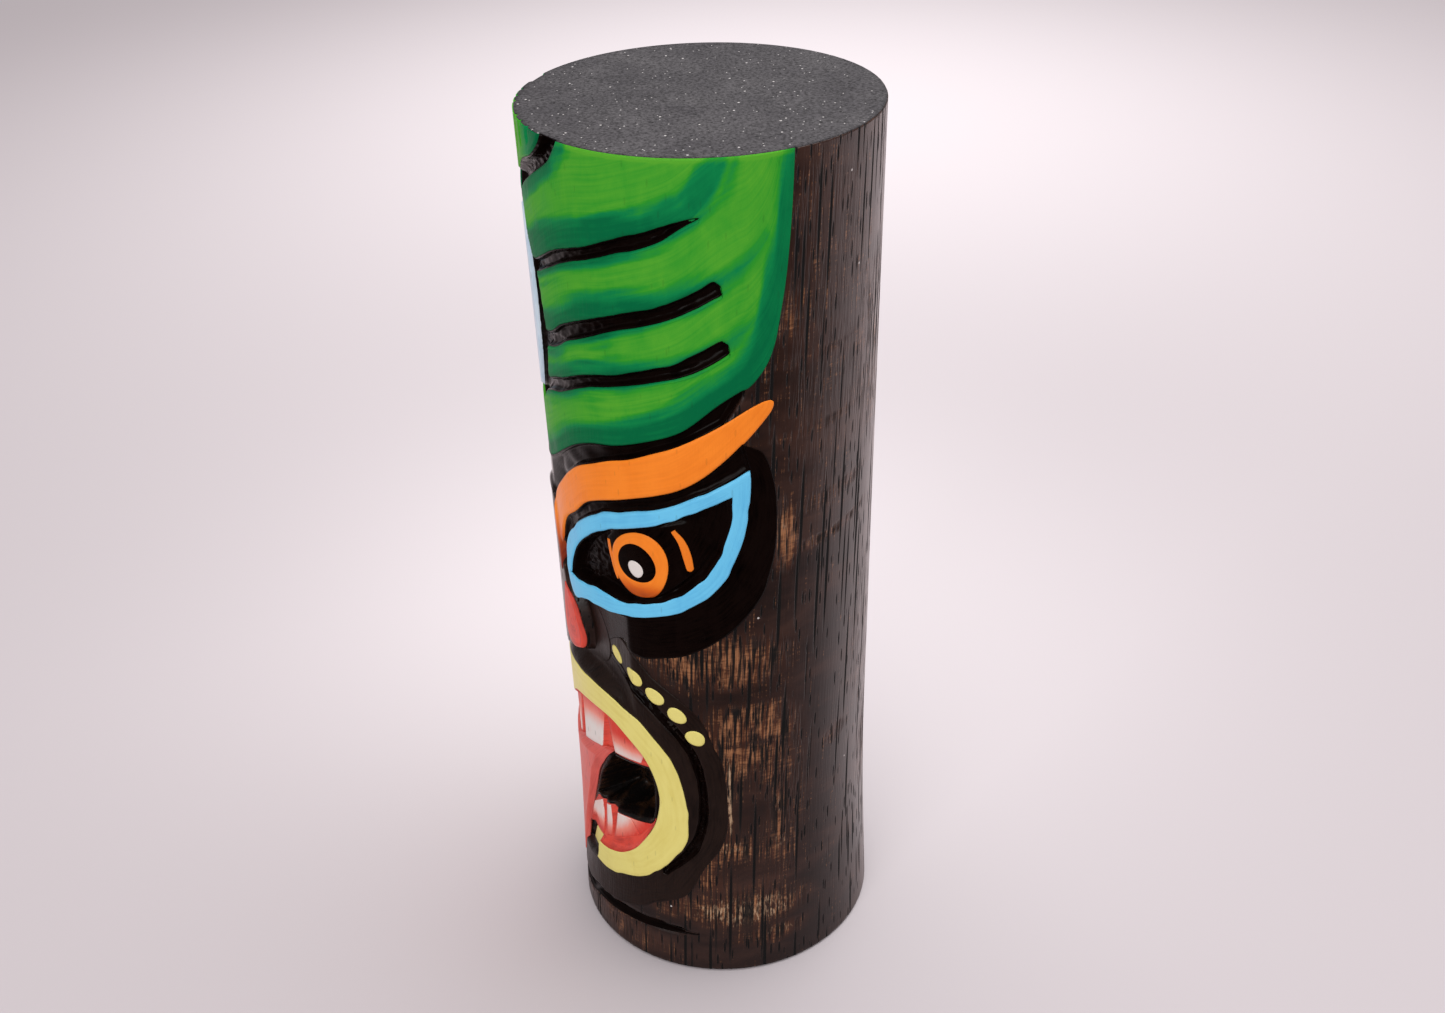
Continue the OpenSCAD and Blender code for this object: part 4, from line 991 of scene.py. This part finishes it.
both("gum_coat_lower", [lower_gum], 22, GUM_LIFT, red, "red_paint")


# Tongue: a softer red acrylic over the long tongue, front face and chiselled sides alike.
# It is brushed down from the teeth to the tip, and lies on every coat that it meets.
# Soft red: even and satin, a little paler along the strokes.
tongue_paint = acrylic("tongue_red_acrylic_brushed", ["#cb534c", "#e2695f"], 0.45, stroke_mm=(10, 0.6))
tongue_edges = (along(mirrored(tongue_foot), 260), along(mirrored(tongue_root), 260))
coat("tongue_coat", [film(*tongue_edges, 60, COLOUR_LIFT + 0.04)], tongue_paint)


# Lip and cheek dots: pale yellow acrylic over the broad rim of the mouth, and five dabs along each cheek.
# The lip is one long stroke round the mouth, cut off at the notch beside the tongue.
DOTS = [(39.8, 63.8, 3.7, 1.2), (50.5, 62.1, 3.9, 1.3), (58.8, 59.4, 4.0, 1.3), (66.9, 56.3, 4.0, 1.3),
        (73.3, 52, 4.0, 1.35)]
DOT_TILT = -0.6
LIP_BEVEL = 0.06
LIP_END, MOUTH_END = 16 * STRETCH, 14 * STRETCH  # steps of each edge where the lip turns into the notch
# Pale yellow: opaque and creamy, with faint long brush marks.
yellow = acrylic("yellow_acrylic_brushed", ["#dfd070", "#e8dc80"], stroke_mm=(9, 0.9), specks=0.12)
lip_edges = (along(mirrored(lip_outer[:LIP_END + 1]), 420), along(mirrored(mouth_edge[:MOUTH_END + 1]), 420))
lip_foot = (along(lip_outer[LIP_END:LIP_END + 14], 90), along(mouth_edge[MOUTH_END:MOUTH_END + 15], 90))
lip_films = [film(*lip_edges, 22, COLOUR_LIFT, bevel=LIP_BEVEL)]
lip_films += [film(turned(lip_foot[0]), turned(lip_foot[1]), 22, COLOUR_LIFT, bevel=LIP_BEVEL)
              for turned in SIDES.values()]
dabs = [filled(oval(*dot, tilt=DOT_TILT, seed=51 + number, count=40)) for number, dot in enumerate(DOTS)]
coat("lip_coat", lip_films, yellow)
both("cheek_dots_coat", dabs, 7, COLOUR_LIFT, yellow, "yellow_paint", closed=True, bevel=SOFT_EDGE)


# Crown: the sawn top of the log, across the grain, with the saw's fine roughness left in it.
# It is painted with one coat of matte charcoal acrylic, which holds dust and leaves a few pits open.
CROWN_RINGS = 24
CROWN_LIFT, CROWN_THICKNESS = 0.12, 0.22
# Matte charcoal: a dull grey without any gloss, clouded, with dark pits and pale specks of dust.
# Real dust is about 0.05 mm; it is drawn at 0.2 to 0.3 mm, so that it shows.
crown_paint = empty_material("charcoal_matte_acrylic_on_sawn_end")
sawn = grain(crown_paint, across=0.5, lengthwise=0.5, detail=4, roughness=0.7)
cloudy = grain(crown_paint, across=9, lengthwise=9, detail=3, roughness=0.6, distortion=0.5)
pits = pores(crown_paint, across=2.4, lengthwise=2.4, width=0.4, offset=4.0)
fine_dust = pores(crown_paint, across=1.35, lengthwise=1.35, width=0.22, offset=9.0)
coarse_dust = pores(crown_paint, across=2.6, lengthwise=2.6, width=0.34, offset=17.0)
charcoal_shades = [(0.3, linear("#4d4a4d")), (0.7, linear("#5d5a5c"))]
charcoal = add(crown_paint, "ShaderNodeValToRGB", {"Fac": cloudy}, charcoal_shades)
saw_shades = [(0.36, linear("#8c8a8c")), (0.6, linear("#ffffff"))]
speckled = add(crown_paint, "ShaderNodeValToRGB", {"Fac": sawn}, saw_shades)
toned = add(crown_paint, "ShaderNodeMix", {MIX_SHARE: 1.0, MIX_FROM: charcoal, MIX_TO: speckled},
            data_type="RGBA", blend_type="MULTIPLY")
pitted = add(crown_paint, "ShaderNodeMix", {MIX_SHARE: pits, MIX_FROM: toned, MIX_TO: linear("#121011")},
             data_type="RGBA")
dust = add(crown_paint, "ShaderNodeMath", {0: fine_dust, 1: coarse_dust}, operation="MAXIMUM")
dusty = add(crown_paint, "ShaderNodeMix", {MIX_SHARE: dust, MIX_FROM: pitted, MIX_TO: linear("#cfcac8")},
            data_type="RGBA")
saw_marks = add(crown_paint, "ShaderNodeBump", {"Strength": 0.6, "Distance": 0.1 * MM, "Height": sawn})
matte = add(crown_paint, "ShaderNodeBsdfPrincipled", {"Base Color": dusty, "Roughness": 0.75,
                                                      "Specular IOR Level": 0.3, "Normal": saw_marks})
add(crown_paint, "ShaderNodeOutputMaterial", {"Surface": matte})
rim_radius = surface(log_angles, np.full(ring_count, LOG_HEIGHT)) - CROWN_LIFT
crown_radii = np.linspace(0, 1, CROWN_RINGS)[:, None] * rim_radius
crown_heights = np.full(crown_radii.shape, LOG_HEIGHT + CROWN_LIFT)
crown_points = place(log_angles, crown_heights, crown_radii).reshape(-1, 3)
crown_skin = np.vstack([crown_points, crown_points - [0, 0, CROWN_THICKNESS * MM]])
crown_count = len(crown_points)
crown_grid = quads(CROWN_RINGS, ring_count, True)
outer = np.arange(crown_count - ring_count, crown_count)
crown_wall = np.stack([outer, outer + crown_count, np.roll(outer, -1) + crown_count, np.roll(outer, -1)], 1)
crown_faces = np.vstack([crown_grid[:, ::-1], crown_grid + crown_count, crown_wall])
crown_film = (crown_skin, crown_faces, crown_skin[:, :2] * 10, crown_points[:, :2])
coat("crown_coat", [crown_film], crown_paint)


# Studio: a pale floor that runs off into a pale haze, a broad soft lamp overhead behind the figure and
# a weaker one from its left. Two pools of light are painted into the paper's colour beyond the figure.
FLOOR_HALF = 3
# Middle, radius in metres and strength of each pool of light painted on the paper.
PAINTED_LIGHT_POOLS = [((-0.49, 0.085, 0), 0.26, 1.0), ((-0.09, 0.01, 0), 0.095, 0.6)]
HAZE = linear("#d8d0d3")
AIM = Vector((0, 0, 0.07))  # middle of the figure
floor_mesh = bpy.data.meshes.new("floor")
corners = [(-FLOOR_HALF, -FLOOR_HALF, 0), (FLOOR_HALF, -FLOOR_HALF, 0), (FLOOR_HALF, FLOOR_HALF, 0),
           (-FLOOR_HALF, FLOOR_HALF, 0)]
floor_mesh.from_pydata(corners, [], [(0, 1, 2, 3)])
floor = bpy.data.objects.new("floor", floor_mesh)
bpy.context.scene.collection.objects.link(floor)
# Matte paper: pale and without any sheen, with pools of light painted into its colour. Mirror rays see a
# painted reflection instead: pale behind the figure and dark before it, so that the dark paints keep their
# depth.
floor_paint = empty_material("pale_paper_with_painted_light")
spot = add(floor_paint, "ShaderNodeTexCoord").outputs["Object"]
pools = []
for middle, radius, strength in PAINTED_LIGHT_POOLS:
    in_radii = {"Vector": spot, "Location": middle, "Scale": [radius] * 3}
    reach = add(floor_paint, "ShaderNodeMapping", in_radii, vector_type="TEXTURE")
    squared = add(floor_paint, "ShaderNodeVectorMath", {0: reach, 1: reach}, operation="DOT_PRODUCT")
    fall = add(floor_paint, "ShaderNodeMath", {0: math.exp(-1), 1: squared}, operation="POWER")
    pools.append(add(floor_paint, "ShaderNodeMath", {0: fall, 1: strength}, operation="MULTIPLY"))
# Painted light: the paper's colour is made palest where the pools lie.
pool = add(floor_paint, "ShaderNodeMath", {0: pools[0], 1: pools[1]}, operation="ADD")
pale, palest = linear("#c2babd"), linear("#faf2f5")
paper = add(floor_paint, "ShaderNodeMix", {MIX_SHARE: pool, MIX_FROM: pale, MIX_TO: palest},
            data_type="RGBA")
rays = add(floor_paint, "ShaderNodeLightPath").outputs
in_gloss, in_view = rays["Is Glossy Ray"], rays["Is Camera Ray"]
# Painted reflection: what mirror rays see of the paper, pale behind the figure and darkening towards the
# front.
turned_floor = add(floor_paint, "ShaderNodeMapping", {"Vector": spot, "Rotation": (0, 0, 0.29)})
before = add(floor_paint, "ShaderNodeSeparateXYZ", {0: turned_floor}).outputs["X"]
nearer = add(floor_paint, "ShaderNodeMapRange", {VALUE: before, FROM_LOW: -0.1, FROM_HIGH: 0.2})
painted_reflection_shades = [(0.0, linear("#fff0f2")), (0.27, linear("#f2e4e6")), (0.42, linear("#978b8d")),
                   (0.6, linear("#5a5354")), (0.9, linear("#201e1e"))]
painted_reflection_of_paper = add(floor_paint, "ShaderNodeValToRGB", {"Fac": nearer}, painted_reflection_shades)
seen = add(floor_paint, "ShaderNodeMix", {MIX_SHARE: in_gloss, MIX_FROM: paper, MIX_TO: painted_reflection_of_paper},
           data_type="RGBA")
sheet = add(floor_paint, "ShaderNodeBsdfDiffuse", {"Color": seen})
haze = add(floor_paint, "ShaderNodeEmission", {"Color": HAZE})
distance = add(floor_paint, "ShaderNodeVectorMath", {0: spot}, operation="LENGTH")
far_off = add(floor_paint, "ShaderNodeMapRange", {VALUE: distance, FROM_LOW: 0.65, FROM_HIGH: 1.3},
              interpolation_type="SMOOTHSTEP")
hazy = add(floor_paint, "ShaderNodeMath", {0: far_off, 1: in_view}, operation="MULTIPLY")
backdrop = add(floor_paint, "ShaderNodeMixShader", {0: hazy, 1: sheet, 2: haze})
add(floor_paint, "ShaderNodeOutputMaterial", {"Surface": backdrop})
floor_mesh.materials.append(floor_paint)
world = bpy.data.worlds.new("studio")
world.use_nodes = True
world.node_tree.nodes.clear()
sky_rays = add(world, "ShaderNodeLightPath").outputs
reflected = add(world, "ShaderNodeMapRange", {VALUE: sky_rays["Is Glossy Ray"], TO_LOW: 0.5, TO_HIGH: 0.3})
sky = add(world, "ShaderNodeBackground", {"Color": linear("#f2ecee"), "Strength": reflected})
distant = add(world, "ShaderNodeBackground", {"Color": HAZE})
horizon = add(world, "ShaderNodeMixShader", {0: sky_rays["Is Camera Ray"], 1: sky, 2: distant})
add(world, "ShaderNodeOutputWorld", {"Surface": horizon})
bpy.context.scene.world = world


def lamp(name, power, size, spot):
    """A square soft lamp at a spot, turned to face the figure."""
    light = bpy.data.lights.new(name, "AREA")
    light.energy, light.size = power, size
    made = bpy.data.objects.new(name, light)
    made.location = spot
    made.rotation_euler = (AIM - Vector(spot)).to_track_quat("-Z", "Y").to_euler()
    bpy.context.scene.collection.objects.link(made)


lamp("overhead", power=8.0, size=0.9, spot=(-0.1, 0.25, 0.9))
lamp("front", power=4.2, size=0.6, spot=(0.8, -0.4, 0.5))


# Camera: it stands at the figure's left, a little to its front, and looks down on it at the photo's angle.
# Its lens, place and turn were fitted to the log's two sides, its sawn top and the curve of its base.
PHOTO_SPOT = (0.23618494, -0.02899986, 0.2238634)
PHOTO_TURN = (58.90446, 1.50212, 81.75974)  # degrees
camera_data = bpy.data.cameras.new("photo_camera")
camera_data.lens, camera_data.sensor_width = 41.64, 36
camera_data.clip_start = 0.005
camera = bpy.data.objects.new("photo_camera", camera_data)
camera.location = PHOTO_SPOT
camera.rotation_euler = [math.radians(turn) for turn in PHOTO_TURN]
bpy.context.scene.collection.objects.link(camera)
bpy.context.scene.camera = camera
bpy.context.scene.view_settings.view_transform = "Standard"
